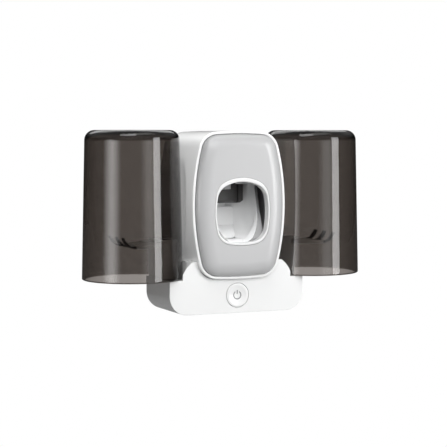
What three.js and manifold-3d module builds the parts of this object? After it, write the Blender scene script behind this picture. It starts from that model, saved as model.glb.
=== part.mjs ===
// A wall-hung ultraviolet toothbrush holder with a push-to-dispense toothpaste pump.
// Two smoked tumblers hang mouth down over the brush racks, one on each side of a white
// tower. Lengths are in millimetres, +Z is up and the front faces -Y.
import * as THREE from "three";
import { mergeVertices } from "three/addons/utils/BufferGeometryUtils.js";
import Module from "manifold-3d";

const wasm = await Module();
wasm.setup();

// Clearances
const seatGap = 0.3; // between faces that rest on each other
const slideGap = 0.5; // round a piece that slides or turns
const recessGap = 1.8; // between a tumbler and the hollow that it nests in
const rackGap = 1.5; // between a rack and the inside of its tumbler
const wallGap = 2; // between a tumbler and the wall
const leadGap = 1.6; // round a lead where it passes through the base
const overshoot = 1; // how far a cut runs past the face that it opens

// Tumblers
const cupSpacing = 138;
const cupMouthRadius = 35;
const cupTopRadius = 32.7;
const cupHeight = 103;
const cupWall = 2;
const cupEndWall = 5;
const cupEdgeRadius = 7;

// Base
const baseWidth = 101.6;
const baseHeight = 24;
const baseFront = 24; // how far it reaches in front of the tumblers' axes
const baseBack = 21.4; // how far it reaches behind them
const baseCorner = 13;
const shellWall = 2.2;
const hornHalfWidth = 34; // half-width at the tips of the two horns that cradle the tower
const hornRise = 12.3;
const neckRise = 3.7; // height over which the neck stays at its full width
const hornBulge = 1.6; // how far the horns' edges swell out between the neck and the tips
const baseCoverThickness = 2.2;

// Tower: its outline has bowed sides, a slightly crowned top and round corners
const towerForm = { halfWidth: 35.1, halfHeight: 51.5, sideBow: 164, crownBow: 250, corner: 14 };
const towerSink = 0.2; // how deep its underside lies in the top of the base
const towerOverhang = 3.4; // how far its rim stands in front of the base
const towerWall = 2;
const rearCoverThickness = 2.3;
const towerBossInset = 8.4; // from the tower's sides in to the axes of its bosses
const towerBossDrop = 17; // from its top and its underside to the same axes

// Front cover and window
const coverWall = 1.8;
const coverSkirt = 6; // how deep the cover plugs into the tower
const coverDome = 5.4; // how far its face stands in front of the tower's rim
const coverRounding = 10; // width of the rounded band along its edge
const windowForm = { halfWidth: 20.9, halfHeight: 23.5, sideBow: 60, crownBow: 55, corner: 12 };
const windowDrop = 4.2; // how far the window's centre lies below the tower's
const bezelWidth = 2.1;
const bezelDepth = 5.8;
const bezelProud = 0.3;
const bezelRounding = 0.7;

// Brush chamber: a half pipe with a floor
const chamberRadius = 17.5;
const chamberWall = 1.8;
const chamberAxis = -10; // how far its axis lies behind the tumblers' axes
const chamberFloor = 48.8;
const chamberFloorWall = 2;
const chamberTop = 100;
const chamberSill = 52; // height at which its front edge starts to lean back
const chamberBrow = 86; // height at which its front edge is upright again
const chamberBrowDepth = 14.5; // how far the edge has leaned back there

// Push paddle
const paddleHalfWidth = 9.3;
const paddleThickness = 2.2;
const paddleFace = 4.8; // how far its upright face lies behind the tumblers' axes
const paddleTop = 73;
const paddleFold = 59.3; // height of the bend above its lip
const paddleLip = 50.4;
const paddleLipReach = 4.8; // how far the lip stands in front of the upright face
const paddlePinHeight = 71;
const paddlePinRadius = 1;
const paddleBossWall = 1.1;
const paddleArmHalfWidth = 3;
const paddleCorner = 2;
const lugWidth = 3;

// Pump
const pumpHalfWidth = 12.7;
const pumpFront = 5; // how far its face lies in front of the tumblers' axes
const pumpBottom = 77.5;
const pumpTop = 108;
const pumpFrontWall = 2;
const nozzleHalfWidth = 3;
const nozzleBottom = 85.6;
const nozzleProud = 1.6; // how far the nozzle stands in front of the pump
const nozzleWall = 0.8;
const hoseWall = 0.8;
const hoseRise = 5; // how far the hose reaches into the tube socket
const squeezeHalfWidth = 3.3;
const squeezeStroke = 3.4;
const squeezeThickness = 2;
const squeezeTail = 3; // height of the foot that the paddle's arm pushes
const squeezeNose = 5; // height of the nose that squeezes the hose
const squeezeHeight = 18;
const squeezeRise = 1.4; // from the pump's underside to the slider's foot
const noseInset = 0.4; // how much narrower the nose is than the hose, on each side
const socketRadius = 9.5;
const socketBore = 6.5;
const socketFloor = 4;

// Spring behind the paddle
const springRadius = 2.6;
const springWire = 0.8;
const springTurns = 6;
const springLength = 9;
const springDrop = 8; // from the pin's axis down to the spring's
const springPostRadius = 3.6;

// Brush racks
const rackPostFront = 11;
const rackPostBack = 16;
const rackPostTop = 51.3;
const rackPostWall = 2.4;
const rackPlateTop = 49.8;
const rackThickness = 3.6;
const rackWeb = 7; // depth of the plate that joins the prongs
const prongCount = 3;
const prongPitch = 14;
const prongWidth = 5;
const prongReach = 2.6; // how far the straight prong runs past the tumbler's axis
const tipBend = 6;
const tipSweep = THREE.MathUtils.degToRad(75);

// Lamp in each rack post
const lensRadius = 4.7;
const lensThickness = 1.5;
const lensLip = 0.7;
const lampBoardThickness = 1.2;
const lampBoardLength = 14;
const lampBoardGap = 0.4; // between a lamp board's long edges and its post
const chipSize = 3;
const chipHeight = 1.1;
const leadRadius = 0.8;

// Electrical pieces in the base
const buttonRadius = 8.4;
const buttonHeight = 12.3;
const buttonProud = 0.2;
const buttonDish = 0.8;
const buttonRim = 1.7; // width of the rim round the dish
const buttonChamfer = 0.4;
const buttonFlange = 0.8;
const buttonFlangeThickness = 1;
const buttonStroke = 0.8;
const switchSize = 6;
const switchHeight = 3;
const switchBodyHeight = 2.1;
const switchPlungerRadius = 1.5;
const boardLength = 62;
const boardThickness = 1.6;
const boardMargin = 1.2;
const boardPegRadius = 2;
const boardPegInset = 4;
const batteryRadius = 9.2;
const batteryLength = 65;
const terminalRadius = 3;
const terminalHeight = 1.2;
const inletWidth = 9;
const inletHeight = 3.4;
const inletDepth = 7.4;
const inletWall = 0.5;
const inletInset = 15.8; // from the base's side to the middle of the inlet
const tongueWidth = 4.5;
const tongueSetback = 1.5; // from the inlet's mouth to the tip of its tongue

// Fasteners
const screwRadius = 1.3;
const screwHeadRadius = 2.7;
const screwHeadHeight = 1.6;
const screwLength = 9;
const bossRadius = 4;
const bossBite = 1; // how far a boss runs into the wall beside it
const bossLength = 12;
const towerScrewPlace = 12;
const towerScrewDepth = 15.5;

// Wall plate
const wallPlateHalfWidth = 21;
const wallPlateHeight = 56;
const wallPlateThickness = 2.2;
const wallPlateCorner = 6;
const padThickness = 1;
const padMargin = 2;
const hookSpacing = 24;
const hookStem = 4;
const hookHead = 8;
const hookHeadThickness = 1.6;
const hookDrop = 12; // how far the holder lifts to come off its hooks

// Facets
const roundSteps = 48;
const recessSteps = 96;
const smallSteps = 16;
const screwSteps = 10;
const sideSteps = 4;
const cornerSteps = 6;
const crownSteps = 2;
const wireSides = 5;
const wireSteps = 8; // in each turn of the spring
const leadSides = 8;
const leadSteps = 20;

// Places worked out from the sizes above
const cupX = cupSpacing / 2;
const recessRadius = cupMouthRadius + recessGap;
const rackRadius = cupMouthRadius - cupWall - rackGap;
const wallPlane = cupMouthRadius + wallGap;
const baseHalf = baseWidth / 2;
const neckHalfWidth = cupX - Math.sqrt(recessRadius ** 2 - baseFront ** 2);
const towerCentre = baseHeight + towerForm.halfHeight - towerSink;
const towerFront = -baseFront - towerOverhang;
const padBack = wallPlane;
const padFront = padBack - padThickness;
const plateBack = padFront - seatGap;
const plateFront = plateBack - wallPlateThickness;
const rearCoverBack = plateFront - seatGap;
const rearCoverFront = rearCoverBack - rearCoverThickness;
const towerBack = rearCoverFront - seatGap;
const coverInset = towerWall + seatGap;
const coverFace = towerFront - coverDome;
const windowCentre = towerCentre - windowDrop;
const paddleBack = paddleFace + paddleThickness;
const paddlePinDepth = paddleFace + paddlePinRadius + paddleBossWall;
const lugInner = paddleHalfWidth + slideGap;
const lugOuter = lugInner + lugWidth;
const hoseRadius = nozzleHalfWidth - nozzleWall - seatGap / 2;
const hoseAxis = -pumpFront - nozzleProud + nozzleWall + seatGap / 2 + hoseRadius;
const towerReach = 2 * towerForm.halfHeight; // longer than anything that is cut through the tower
const tailBottom = pumpBottom + squeezeRise;
const tailTop = tailBottom + squeezeTail;
const tailBack = paddleFace - seatGap;
const noseTop = tailBottom + squeezeHeight;

// Solids
function solidFrom(geometry) {
  const bare = geometry.index ? geometry.toNonIndexed() : geometry.clone();
  bare.deleteAttribute("normal");
  bare.deleteAttribute("uv");
  const merged = mergeVertices(bare, 1e-4);
  const corners = merged.index.array;
  const triangles = [];
  for (let i = 0; i < corners.length; i += 3) {
    const [a, b, c] = corners.slice(i, i + 3);
    if (a !== b && b !== c && a !== c) triangles.push(a, b, c);
  }
  return new wasm.Manifold(
    new wasm.Mesh({
      numProp: 3,
      vertProperties: merged.attributes.position.array,
      triVerts: new Uint32Array(triangles),
    }),
  );
}

function geometryFrom(solid) {
  const mesh = solid.getMesh();
  const geometry = new THREE.BufferGeometry();
  geometry.setAttribute("position", new THREE.BufferAttribute(mesh.vertProperties, 3));
  geometry.setIndex(new THREE.BufferAttribute(mesh.triVerts, 1));
  geometry.computeVertexNormals();
  return geometry;
}

function block(x0, x1, y0, y1, z0, z1) {
  const box = new THREE.BoxGeometry(x1 - x0, y1 - y0, z1 - z0);
  return solidFrom(box.translate((x0 + x1) / 2, (y0 + y1) / 2, (z0 + z1) / 2));
}

function extruded(shape, length) {
  return new THREE.ExtrudeGeometry(shape, {
    depth: length,
    bevelEnabled: false,
    curveSegments: cornerSteps / 2,
  });
}

// A shape drawn in X and Z, from the depth y0 to the depth y1.
function alongY(shape, y0, y1) {
  return solidFrom(extruded(shape, y1 - y0).rotateX(Math.PI / 2).translate(0, y1, 0));
}

// A shape drawn in Y and Z, from x0 to x1.
function alongX(shape, x0, x1) {
  const turn = new THREE.Matrix4().makeBasis(
    new THREE.Vector3(0, 1, 0),
    new THREE.Vector3(0, 0, 1),
    new THREE.Vector3(1, 0, 0),
  );
  return solidFrom(extruded(shape, x1 - x0).applyMatrix4(turn).translate(x0, 0, 0));
}

// A shape drawn in X and Y, from z0 to z1.
function alongZ(shape, z0, z1) {
  return solidFrom(extruded(shape, z1 - z0).translate(0, 0, z0));
}

function roundZ(radius, x, y, z0, z1, steps = smallSteps) {
  const cylinder = new THREE.CylinderGeometry(radius, radius, z1 - z0, steps);
  return solidFrom(cylinder.rotateX(Math.PI / 2).translate(x, y, (z0 + z1) / 2));
}

function roundY(radius, x, z, y0, y1, steps = smallSteps) {
  const cylinder = new THREE.CylinderGeometry(radius, radius, y1 - y0, steps);
  return solidFrom(cylinder.translate(x, (y0 + y1) / 2, z));
}

function roundX(radius, y, z, x0, x1, steps = smallSteps) {
  const cylinder = new THREE.CylinderGeometry(radius, radius, x1 - x0, steps);
  return solidFrom(cylinder.rotateZ(Math.PI / 2).translate((x0 + x1) / 2, y, z));
}

// A profile of radius and height turned round the Z axis.
function turned(profile, steps = smallSteps) {
  const points = profile.map(([radius, height]) => new THREE.Vector2(radius, height));
  return new THREE.LatheGeometry(points, steps).rotateX(Math.PI / 2);
}

function arcPoints(x, z, radius, from, to, steps = cornerSteps) {
  const angles = Array.from({ length: steps + 1 }, (_, i) => from + ((to - from) * i) / steps);
  return angles.map((angle) => [x + radius * Math.cos(angle), z + radius * Math.sin(angle)]);
}

// The outline of a form with bowed sides, drawn anticlockwise and moved in by inset. Its corner
// arc touches the side's arc and the crown's arc, so its centre is where two circles cross.
function bowedOutline(form, centre, inset = 0) {
  const side = form.halfWidth - form.sideBow;
  const crown = form.halfHeight - form.crownBow;
  const toSide = form.sideBow - form.corner;
  const toCrown = form.crownBow - form.corner;
  const apart = Math.hypot(side, crown);
  const along = (toSide ** 2 - toCrown ** 2 + apart ** 2) / (2 * apart);
  const across = Math.sqrt(toSide ** 2 - along ** 2);
  const cornerX = side + (along * -side - across * crown) / apart;
  const cornerZ = (along * crown - across * side) / apart;
  const sideAngle = Math.atan2(cornerZ, cornerX - side);
  const crownAngle = Math.atan2(cornerZ - crown, cornerX);
  const quarter = [
    ...arcPoints(side, 0, form.sideBow - inset, 0, sideAngle, sideSteps).slice(0, -1),
    ...arcPoints(cornerX, cornerZ, form.corner - inset, sideAngle, crownAngle).slice(0, -1),
    ...arcPoints(0, crown, form.crownBow - inset, crownAngle, Math.PI / 2, crownSteps),
  ];
  const half = [...quarter, ...quarter.slice(0, -1).reverse().map(([x, z]) => [-x, z])];
  const whole = [...half, ...half.slice(1, -1).reverse().map(([x, z]) => [x, -z])];
  return whole.map(([x, z]) => new THREE.Vector2(x, centre + z));
}

function bowedBlock(form, centre, inset, y0, y1) {
  return alongY(new THREE.Shape(bowedOutline(form, centre, inset)), y0, y1);
}

// A closed solid through outlines of like count, listed from the back to the front.
function loft(outlines) {
  const count = outlines[0].points.length;
  const corners = outlines.flatMap(({ points, y }) => points.map((p) => [p.x, y, p.y]));
  const faces = [];
  for (let ring = 0; ring + 1 < outlines.length; ring++) {
    for (let i = 0; i < count; i++) {
      const back = ring * count + i;
      const backNext = ring * count + ((i + 1) % count);
      faces.push(back, backNext, backNext + count, back, backNext + count, back + count);
    }
  }
  const last = outlines.at(-1).points;
  const front = (outlines.length - 1) * count;
  for (const [a, b, c] of THREE.ShapeUtils.triangulateShape(outlines[0].points, [])) {
    faces.push(a, c, b);
  }
  for (const [a, b, c] of THREE.ShapeUtils.triangulateShape(last, [])) {
    faces.push(front + a, front + b, front + c);
  }
  const geometry = new THREE.BufferGeometry();
  geometry.setAttribute("position", new THREE.Float32BufferAttribute(corners.flat(), 3));
  geometry.setIndex(faces);
  return solidFrom(geometry);
}

function circle(radius, sides) {
  const points = arcPoints(0, 0, radius, 0, 2 * Math.PI, sides).slice(0, -1);
  return new THREE.Shape(points.map(([x, y]) => new THREE.Vector2(x, y)));
}

function roundedRectangle(x0, x1, z0, z1, corner) {
  const shape = new THREE.Shape();
  shape.absarc(x1 - corner, z0 + corner, corner, -Math.PI / 2, 0);
  shape.absarc(x1 - corner, z1 - corner, corner, 0, Math.PI / 2);
  shape.absarc(x0 + corner, z1 - corner, corner, Math.PI / 2, Math.PI);
  shape.absarc(x0 + corner, z0 + corner, corner, Math.PI, 1.5 * Math.PI);
  shape.closePath();
  return shape;
}

// Materials
function plastic(color, roughness) {
  return new THREE.MeshStandardMaterial({ color, roughness, metalness: 0 });
}

const whiteGloss = plastic(0xf4f5f4, 0.25);
const greyPanel = plastic(0xcdcdce, 0.3);
const darkPlastic = plastic(0x3c3c3c, 0.45);
const innerWhite = plastic(0xd8d8d6, 0.5);
const silicone = plastic(0xc9ccce, 0.7);
const darkSilicone = plastic(0x2b2a29, 0.7);
const board = plastic(0x1d5b3a, 0.5);
const foam = plastic(0x8c8f92, 0.9);
const batterySleeve = plastic(0x2f6fb0, 0.4);
const leadSleeve = plastic(0xb03028, 0.5);
const smoked = new THREE.MeshStandardMaterial({
  color: 0x4c4744,
  roughness: 0.08,
  metalness: 0,
  transparent: true,
  opacity: 0.7,
});
const lampGlass = plastic(0xb7b4e6, 0.05);
const steel = new THREE.MeshStandardMaterial({ color: 0xb9bbbd, roughness: 0.3, metalness: 1 });

function piece(name, shape, material) {
  const geometry = shape.isBufferGeometry ? shape : geometryFrom(shape);
  const mesh = new THREE.Mesh(geometry, material);
  mesh.name = name;
  return mesh;
}

// Screws
const screwPilot = screwRadius + seatGap;

function screw() {
  return turned(
    [
      [0, -screwLength],
      [screwRadius, -screwLength],
      [screwRadius, 0],
      [screwHeadRadius, 0],
      [screwHeadRadius, screwHeadHeight / 2],
      [screwHeadRadius / 2, screwHeadHeight],
      [0, screwHeadHeight],
    ],
    screwSteps,
  );
}

// Its head lies seatGap behind the face at depth y, and its shank points to the front.
function screwFromBack(name, x, z, y) {
  const mesh = piece(name, screw(), steel);
  mesh.rotation.x = -Math.PI / 2;
  mesh.position.set(x, y + seatGap, z);
  return mesh;
}

// Base shell: a tray open at the back, with a neck whose sides follow the tumblers
const innerFloor = shellWall;
const innerCeiling = baseHeight - shellWall;
const innerFront = -baseFront + shellWall;
const baseCoverFront = baseBack - baseCoverThickness;
const baseBossEnd = baseCoverFront - seatGap;
const baseScrewX = baseHalf - shellWall - bossRadius + bossBite;
const baseScrewZ = (innerFloor + innerCeiling) / 2;
const flangeBack = innerFront + seatGap + buttonFlangeThickness;
const switchFront = flangeBack + buttonStroke + seatGap;
const switchBack = switchFront + switchHeight;
const boardFront = switchBack + seatGap;
const boardBack = boardFront + boardThickness;
const boardPegX = boardLength / 2 - boardPegInset;
const inletPlace = baseHalf - inletInset;
const leadHoleRadius = leadRadius + leadGap;
const leadHoleX = baseHalf - rackPostWall - leadHoleRadius;

function baseOutline(inset, top) {
  const half = baseHalf - inset;
  const corner = baseCorner - inset;
  const shape = new THREE.Shape();
  shape.moveTo(-half, top);
  shape.lineTo(-half, inset + corner);
  shape.absarc(-half + corner, inset + corner, corner, Math.PI, 1.5 * Math.PI);
  shape.absarc(half - corner, inset + corner, corner, 1.5 * Math.PI, 2 * Math.PI);
  shape.lineTo(half, top);
  return shape;
}

function baseShell() {
  const outline = baseOutline(0, baseHeight);
  const shoulder = baseHeight + neckRise;
  const hornTop = baseHeight + hornRise;
  const bulgeX = (neckHalfWidth + hornHalfWidth) / 2 + hornBulge;
  const bulgeZ = (shoulder + hornTop) / 2;
  outline.lineTo(neckHalfWidth, baseHeight);
  outline.lineTo(neckHalfWidth, shoulder);
  outline.quadraticCurveTo(bulgeX, bulgeZ, hornHalfWidth, hornTop);
  outline.lineTo(-hornHalfWidth, hornTop);
  outline.quadraticCurveTo(-bulgeX, bulgeZ, -neckHalfWidth, shoulder);
  outline.lineTo(-neckHalfWidth, baseHeight);
  let shell = alongY(outline, -baseFront, baseBack);
  const room = baseOutline(shellWall, innerCeiling);
  shell = shell.subtract(alongY(room, innerFront, baseBack + overshoot));
  shell = shell.subtract(
    bowedBlock(towerForm, towerCentre, -seatGap, towerFront - overshoot, towerBack),
  );
  const pegFront = innerFront - seatGap;
  const pegBack = boardFront - seatGap;
  const under = innerCeiling - overshoot;
  const over = baseHeight + overshoot;
  for (const side of [-1, 1]) {
    const screwX = side * baseScrewX;
    const behind = baseBossEnd + overshoot;
    shell = shell.subtract(
      roundZ(recessRadius, side * cupX, 0, baseHeight, hornTop + overshoot, recessSteps),
    );
    shell = shell.add(roundY(bossRadius, screwX, baseScrewZ, baseBossEnd - bossLength, baseBossEnd));
    shell = shell.add(roundY(boardPegRadius, side * boardPegX, baseScrewZ, pegFront, pegBack));
    shell = shell.subtract(roundY(screwPilot, screwX, baseScrewZ, baseBossEnd - screwLength, behind));
    shell = shell.subtract(roundZ(leadHoleRadius, side * leadHoleX, 0, under, over));
    shell = shell.subtract(
      roundZ(screwPilot, side * towerScrewPlace, towerScrewDepth, under, over),
    );
  }
  const outside = -baseFront - overshoot;
  const inside = innerFront + overshoot;
  return shell.subtract(
    roundY(buttonRadius + seatGap, 0, buttonHeight, outside, inside, roundSteps),
  );
}

// The charging inlet's outline, moved in by inset.
function inletOutline(inset) {
  const reach = inletWidth / 2 - inset;
  const rise = inletHeight / 2 - inset;
  return roundedRectangle(
    inletPlace - reach,
    inletPlace + reach,
    baseScrewZ - rise,
    baseScrewZ + rise,
    rise,
  );
}

function baseCover() {
  let plate = alongY(
    baseOutline(shellWall + seatGap, innerCeiling - seatGap),
    baseCoverFront,
    baseBack,
  );
  const ahead = baseCoverFront - overshoot;
  const behind = baseBack + overshoot;
  for (const side of [-1, 1]) {
    plate = plate.subtract(roundY(screwPilot, side * baseScrewX, baseScrewZ, ahead, behind));
  }
  const mouth = inletOutline(-seatGap);
  return plate.subtract(alongY(mouth, ahead, behind));
}

// Power button: a dished cap with a flange behind the front wall
function powerButton() {
  const front = baseFront + buttonProud;
  const flangeFront = buttonFlangeThickness - flangeBack;
  const flangeRadius = buttonRadius + buttonFlange;
  const dishRadius = buttonRadius - buttonRim;
  const bowl = (dishRadius ** 2 + buttonDish ** 2) / (2 * buttonDish);
  const down = -Math.PI / 2;
  const edge = down + Math.asin(dishRadius / bowl);
  const dish = arcPoints(0, front - buttonDish + bowl, bowl, edge, down, cornerSteps / 2);
  const button = turned(
    [
      [0, -flangeBack],
      [flangeRadius, -flangeBack],
      [flangeRadius, flangeFront],
      [buttonRadius, flangeFront],
      [buttonRadius, front - buttonChamfer],
      [buttonRadius - buttonChamfer, front],
      ...dish.slice(0, -1),
      [0, front - buttonDish],
    ],
    roundSteps,
  );
  const mesh = piece("power_button", button, whiteGloss);
  mesh.rotation.x = Math.PI / 2;
  mesh.position.z = buttonHeight;
  return mesh;
}

function tactSwitch() {
  const half = switchSize / 2;
  const bodyFront = switchBack - switchBodyHeight;
  const body = block(-half, half, bodyFront, switchBack, buttonHeight - half, buttonHeight + half);
  return body.add(roundY(switchPlungerRadius, 0, buttonHeight, switchFront, switchBack));
}

function mainBoard() {
  const half = boardLength / 2;
  const bottom = innerFloor + boardMargin;
  return block(-half, half, boardFront, boardBack, bottom, innerCeiling - boardMargin);
}

function battery() {
  const axisY = boardBack + slideGap + batteryRadius;
  const axisZ = innerFloor + seatGap + batteryRadius;
  const end = batteryLength / 2;
  const can = roundX(batteryRadius, axisY, axisZ, -end, end);
  return can.add(roundX(terminalRadius, axisY, axisZ, end - terminalHeight, end + terminalHeight));
}

// Charging inlet: a flat metal sleeve with a tongue
function chargeInlet() {
  const front = baseBack - inletDepth;
  const outer = inletOutline(0);
  const mouth = inletOutline(inletWall);
  const tongue = block(
    inletPlace - tongueWidth / 2,
    inletPlace + tongueWidth / 2,
    front,
    baseBack - tongueSetback,
    baseScrewZ - inletWall / 2,
    baseScrewZ + inletWall / 2,
  );
  const hollow = alongY(mouth, front + inletWall, baseBack + overshoot);
  return alongY(outer, front, baseBack).subtract(hollow).add(tongue);
}

// Tower shell: a tube of the tower's outline, hollowed at the sides where the tumblers nest
const towerBossX = towerForm.halfWidth - towerBossInset;
const towerBossRise = towerForm.halfHeight - towerBossDrop;
const towerBossPlaces = [-1, 1].flatMap((side) =>
  [-1, 1].map((level) => [side * towerBossX, towerCentre + level * towerBossRise]),
);

function withoutRecesses(solid, radius) {
  const top = towerCentre + towerReach;
  return [-1, 1].reduce(
    (left, side) => left.subtract(roundZ(radius, side * cupX, 0, 0, top, recessSteps)),
    solid,
  );
}

function towerShell() {
  const ahead = towerFront - overshoot;
  const behind = towerBack + overshoot;
  const whole = bowedBlock(towerForm, towerCentre, 0, towerFront, towerBack);
  const room = bowedBlock(towerForm, towerCentre, towerWall, ahead, behind);
  const outer = withoutRecesses(whole, recessRadius);
  let shell = outer.subtract(withoutRecesses(room, recessRadius + towerWall));
  for (const [x, z] of towerBossPlaces) {
    const boss = roundY(bossRadius, x, z, towerBack - bossLength, towerBack);
    shell = shell.add(boss.intersect(outer));
    shell = shell.subtract(roundY(screwPilot, x, z, towerBack - screwLength, behind));
  }
  for (const side of [-1, 1]) {
    shell = shell.subtract(roundZ(screwPilot, side * towerScrewPlace, towerScrewDepth, 0, towerCentre));
  }
  const top = towerCentre + towerReach;
  return shell.subtract(roundZ(socketBore + slideGap, 0, hoseAxis, towerCentre, top));
}

// Rear cover: closes the tower, and has a keyhole for each hook and a post for the spring
const hookHeight = towerCentre + hookDrop / 2;
const springHeight = paddlePinHeight - springDrop;
const springFront = paddleBack + seatGap;
const springBack = springFront + springLength;

function rearCover() {
  let plate = bowedBlock(towerForm, towerCentre, 0, rearCoverFront, rearCoverBack);
  const behind = rearCoverBack + overshoot;
  const ahead = rearCoverFront - overshoot;
  for (const [x, z] of towerBossPlaces) {
    plate = plate.subtract(roundY(screwPilot, x, z, ahead, behind));
  }
  for (const side of [-1, 1]) {
    const x = (side * hookSpacing) / 2;
    const stem = hookStem / 2 + slideGap;
    const head = hookHead / 2 + slideGap;
    const low = hookHeight - hookDrop;
    plate = plate.subtract(block(x - stem, x + stem, ahead, behind, low, hookHeight + stem));
    plate = plate.subtract(block(x - head, x + head, ahead, behind, low - head, low + head));
  }
  const postFront = springBack + seatGap;
  return plate.add(roundY(springPostRadius, 0, springHeight, postFront, rearCoverBack));
}

// Wall plate: stuck to the wall, with two headed hooks that hold the rear cover
function wallPlate() {
  const low = towerCentre - wallPlateHeight / 2;
  const outline = roundedRectangle(
    -wallPlateHalfWidth,
    wallPlateHalfWidth,
    low,
    low + wallPlateHeight,
    wallPlateCorner,
  );
  let plate = alongY(outline, plateFront, plateBack);
  const headBack = rearCoverFront - seatGap;
  const headFront = headBack - hookHeadThickness;
  for (const side of [-1, 1]) {
    const x = (side * hookSpacing) / 2;
    const stem = hookStem / 2;
    const head = hookHead / 2;
    plate = plate.add(
      block(x - stem, x + stem, headFront, plateBack, hookHeight - stem, hookHeight + stem),
    );
    plate = plate.add(
      block(x - head, x + head, headFront, headBack, hookHeight - head, hookHeight + head),
    );
  }
  return plate;
}

function adhesivePad() {
  const half = wallPlateHalfWidth - padMargin;
  const rise = wallPlateHeight / 2 - padMargin;
  const corner = wallPlateCorner - padMargin;
  return alongY(
    roundedRectangle(-half, half, towerCentre - rise, towerCentre + rise, corner),
    padFront,
    padBack,
  );
}

// Front cover: a domed skin that plugs into the tower's mouth, with the window through it
function coverSkin(extra, back) {
  const edge = coverInset + extra;
  const width = coverRounding - extra;
  const rise = coverDome - extra;
  const outlines = [{ points: bowedOutline(towerForm, towerCentre, edge), y: back }];
  for (let i = 0; i <= cornerSteps; i++) {
    const angle = (Math.PI / 2) * (i / cornerSteps);
    const inset = edge + width * (1 - Math.cos(angle));
    outlines.push({
      points: bowedOutline(towerForm, towerCentre, inset),
      y: towerFront - rise * Math.sin(angle),
    });
  }
  return loft(outlines);
}

function frontCover() {
  const back = towerFront + coverSkirt;
  const hollow = coverSkin(coverWall, back + overshoot);
  const window = bowedBlock(windowForm, windowCentre, -seatGap, coverFace - overshoot, back);
  return coverSkin(0, back).subtract(hollow).subtract(window);
}

function windowBezel() {
  const front = coverFace - bezelProud;
  const back = front + bezelDepth;
  const roundFrom = front + bezelRounding;
  const ring = (inset, y) => ({ points: bowedOutline(windowForm, windowCentre, inset), y });
  const body = loft([ring(0, back), ring(0, roundFrom), ring(bezelRounding, front)]);
  const mouthInset = bezelWidth - bezelRounding;
  const opening = loft([
    ring(bezelWidth, back + overshoot),
    ring(bezelWidth, roundFrom),
    ring(mouthInset, front),
    ring(mouthInset, front - overshoot),
  ]);
  return body.subtract(opening);
}

// Brush chamber
function halfPipe(radius, front, z0, z1) {
  const back = arcPoints(0, chamberAxis, radius, 0, Math.PI, roundSteps / 2);
  const outline = [[-radius, front], [radius, front], ...back];
  return alongZ(new THREE.Shape(outline.map(([x, y]) => new THREE.Vector2(x, y))), z0, z1);
}

function brushChamber() {
  const foot = towerCentre - towerForm.halfHeight;
  const front = coverFace + bezelDepth + slideGap;
  const lowFront = towerFront + coverSkirt + slideGap;
  const outerRadius = chamberRadius + chamberWall;
  const ahead = front - overshoot;
  const under = foot - overshoot;
  const over = chamberTop + overshoot;
  const floorUnder = chamberFloor - chamberFloorWall;
  const browFront = front + chamberBrowDepth;
  let chamber = halfPipe(outerRadius, front, foot, chamberTop);
  chamber = chamber.subtract(halfPipe(chamberRadius, ahead, chamberFloor, over));
  chamber = chamber.subtract(halfPipe(chamberRadius, ahead, under, floorUnder));
  const lean = new THREE.Shape([
    new THREE.Vector2(ahead, chamberSill),
    new THREE.Vector2(front, chamberSill),
    new THREE.Vector2(browFront, chamberBrow),
    new THREE.Vector2(browFront, over),
    new THREE.Vector2(ahead, over),
  ]);
  const reach = outerRadius + overshoot;
  chamber = chamber.subtract(alongX(lean, -reach, reach));
  chamber = chamber.subtract(block(-reach, reach, ahead, lowFront, under, floorUnder - seatGap));
  const behind = chamberAxis + outerRadius + overshoot;
  const hole = block(
    -lugInner,
    lugInner,
    paddleFace - slideGap,
    behind,
    chamberFloor + seatGap,
    paddleTop + slideGap,
  );
  for (const side of [-1, 1]) {
    const edges = [side * lugInner, side * lugOuter].sort((a, b) => a - b);
    const boss = paddlePinRadius + paddleBossWall + seatGap;
    const lug = block(
      ...edges,
      paddlePinDepth - boss,
      paddlePinDepth + boss,
      paddlePinHeight - boss,
      paddlePinHeight + boss,
    );
    chamber = chamber.add(lug);
  }
  chamber = chamber.subtract(hole);
  const pinHole = paddlePinRadius + seatGap;
  const pinEnd = lugOuter + overshoot;
  chamber = chamber.subtract(roundX(pinHole, paddlePinDepth, paddlePinHeight, -pinEnd, pinEnd));
  const inside = towerWall + seatGap;
  return chamber.intersect(bowedBlock(towerForm, towerCentre, inside, towerFront, towerBack));
}

// Push paddle: an upright plate with a lip below, a boss round the pin and an arm above it
function pushPaddle() {
  const plate = new THREE.Shape();
  plate.moveTo(paddleFace, paddleTop);
  plate.lineTo(paddleFace, paddleFold);
  plate.lineTo(paddleFace - paddleLipReach, paddleLip);
  plate.lineTo(paddleBack - paddleLipReach, paddleLip);
  plate.lineTo(paddleBack, paddleFold);
  plate.lineTo(paddleBack, paddleTop);
  plate.closePath();
  const half = paddleHalfWidth;
  const bossSize = paddlePinRadius + paddleBossWall;
  const boss = roundX(bossSize, paddlePinDepth, paddlePinHeight, -half, half);
  const body = alongX(plate, -half, half).add(boss);
  const below = paddleLip - 2 * paddleCorner;
  const rounded = roundedRectangle(-half, half, below, paddleTop, paddleCorner);
  const ahead = paddleFace - paddleLipReach - overshoot;
  const behind = paddlePinDepth + bossSize + overshoot;
  const trimmed = body.intersect(alongY(rounded, ahead, behind));
  const arm = block(
    -paddleArmHalfWidth,
    paddleArmHalfWidth,
    paddleFace,
    paddleBack,
    paddlePinHeight,
    tailTop - slideGap,
  );
  const boreEnd = half + overshoot;
  const bore = roundX(
    paddlePinRadius + seatGap,
    paddlePinDepth,
    paddlePinHeight,
    -boreEnd,
    boreEnd,
  );
  return trimmed.add(arm).subtract(bore);
}

function paddlePin() {
  return roundX(paddlePinRadius, paddlePinDepth, paddlePinHeight, -lugOuter, lugOuter, smallSteps / 2);
}

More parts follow.
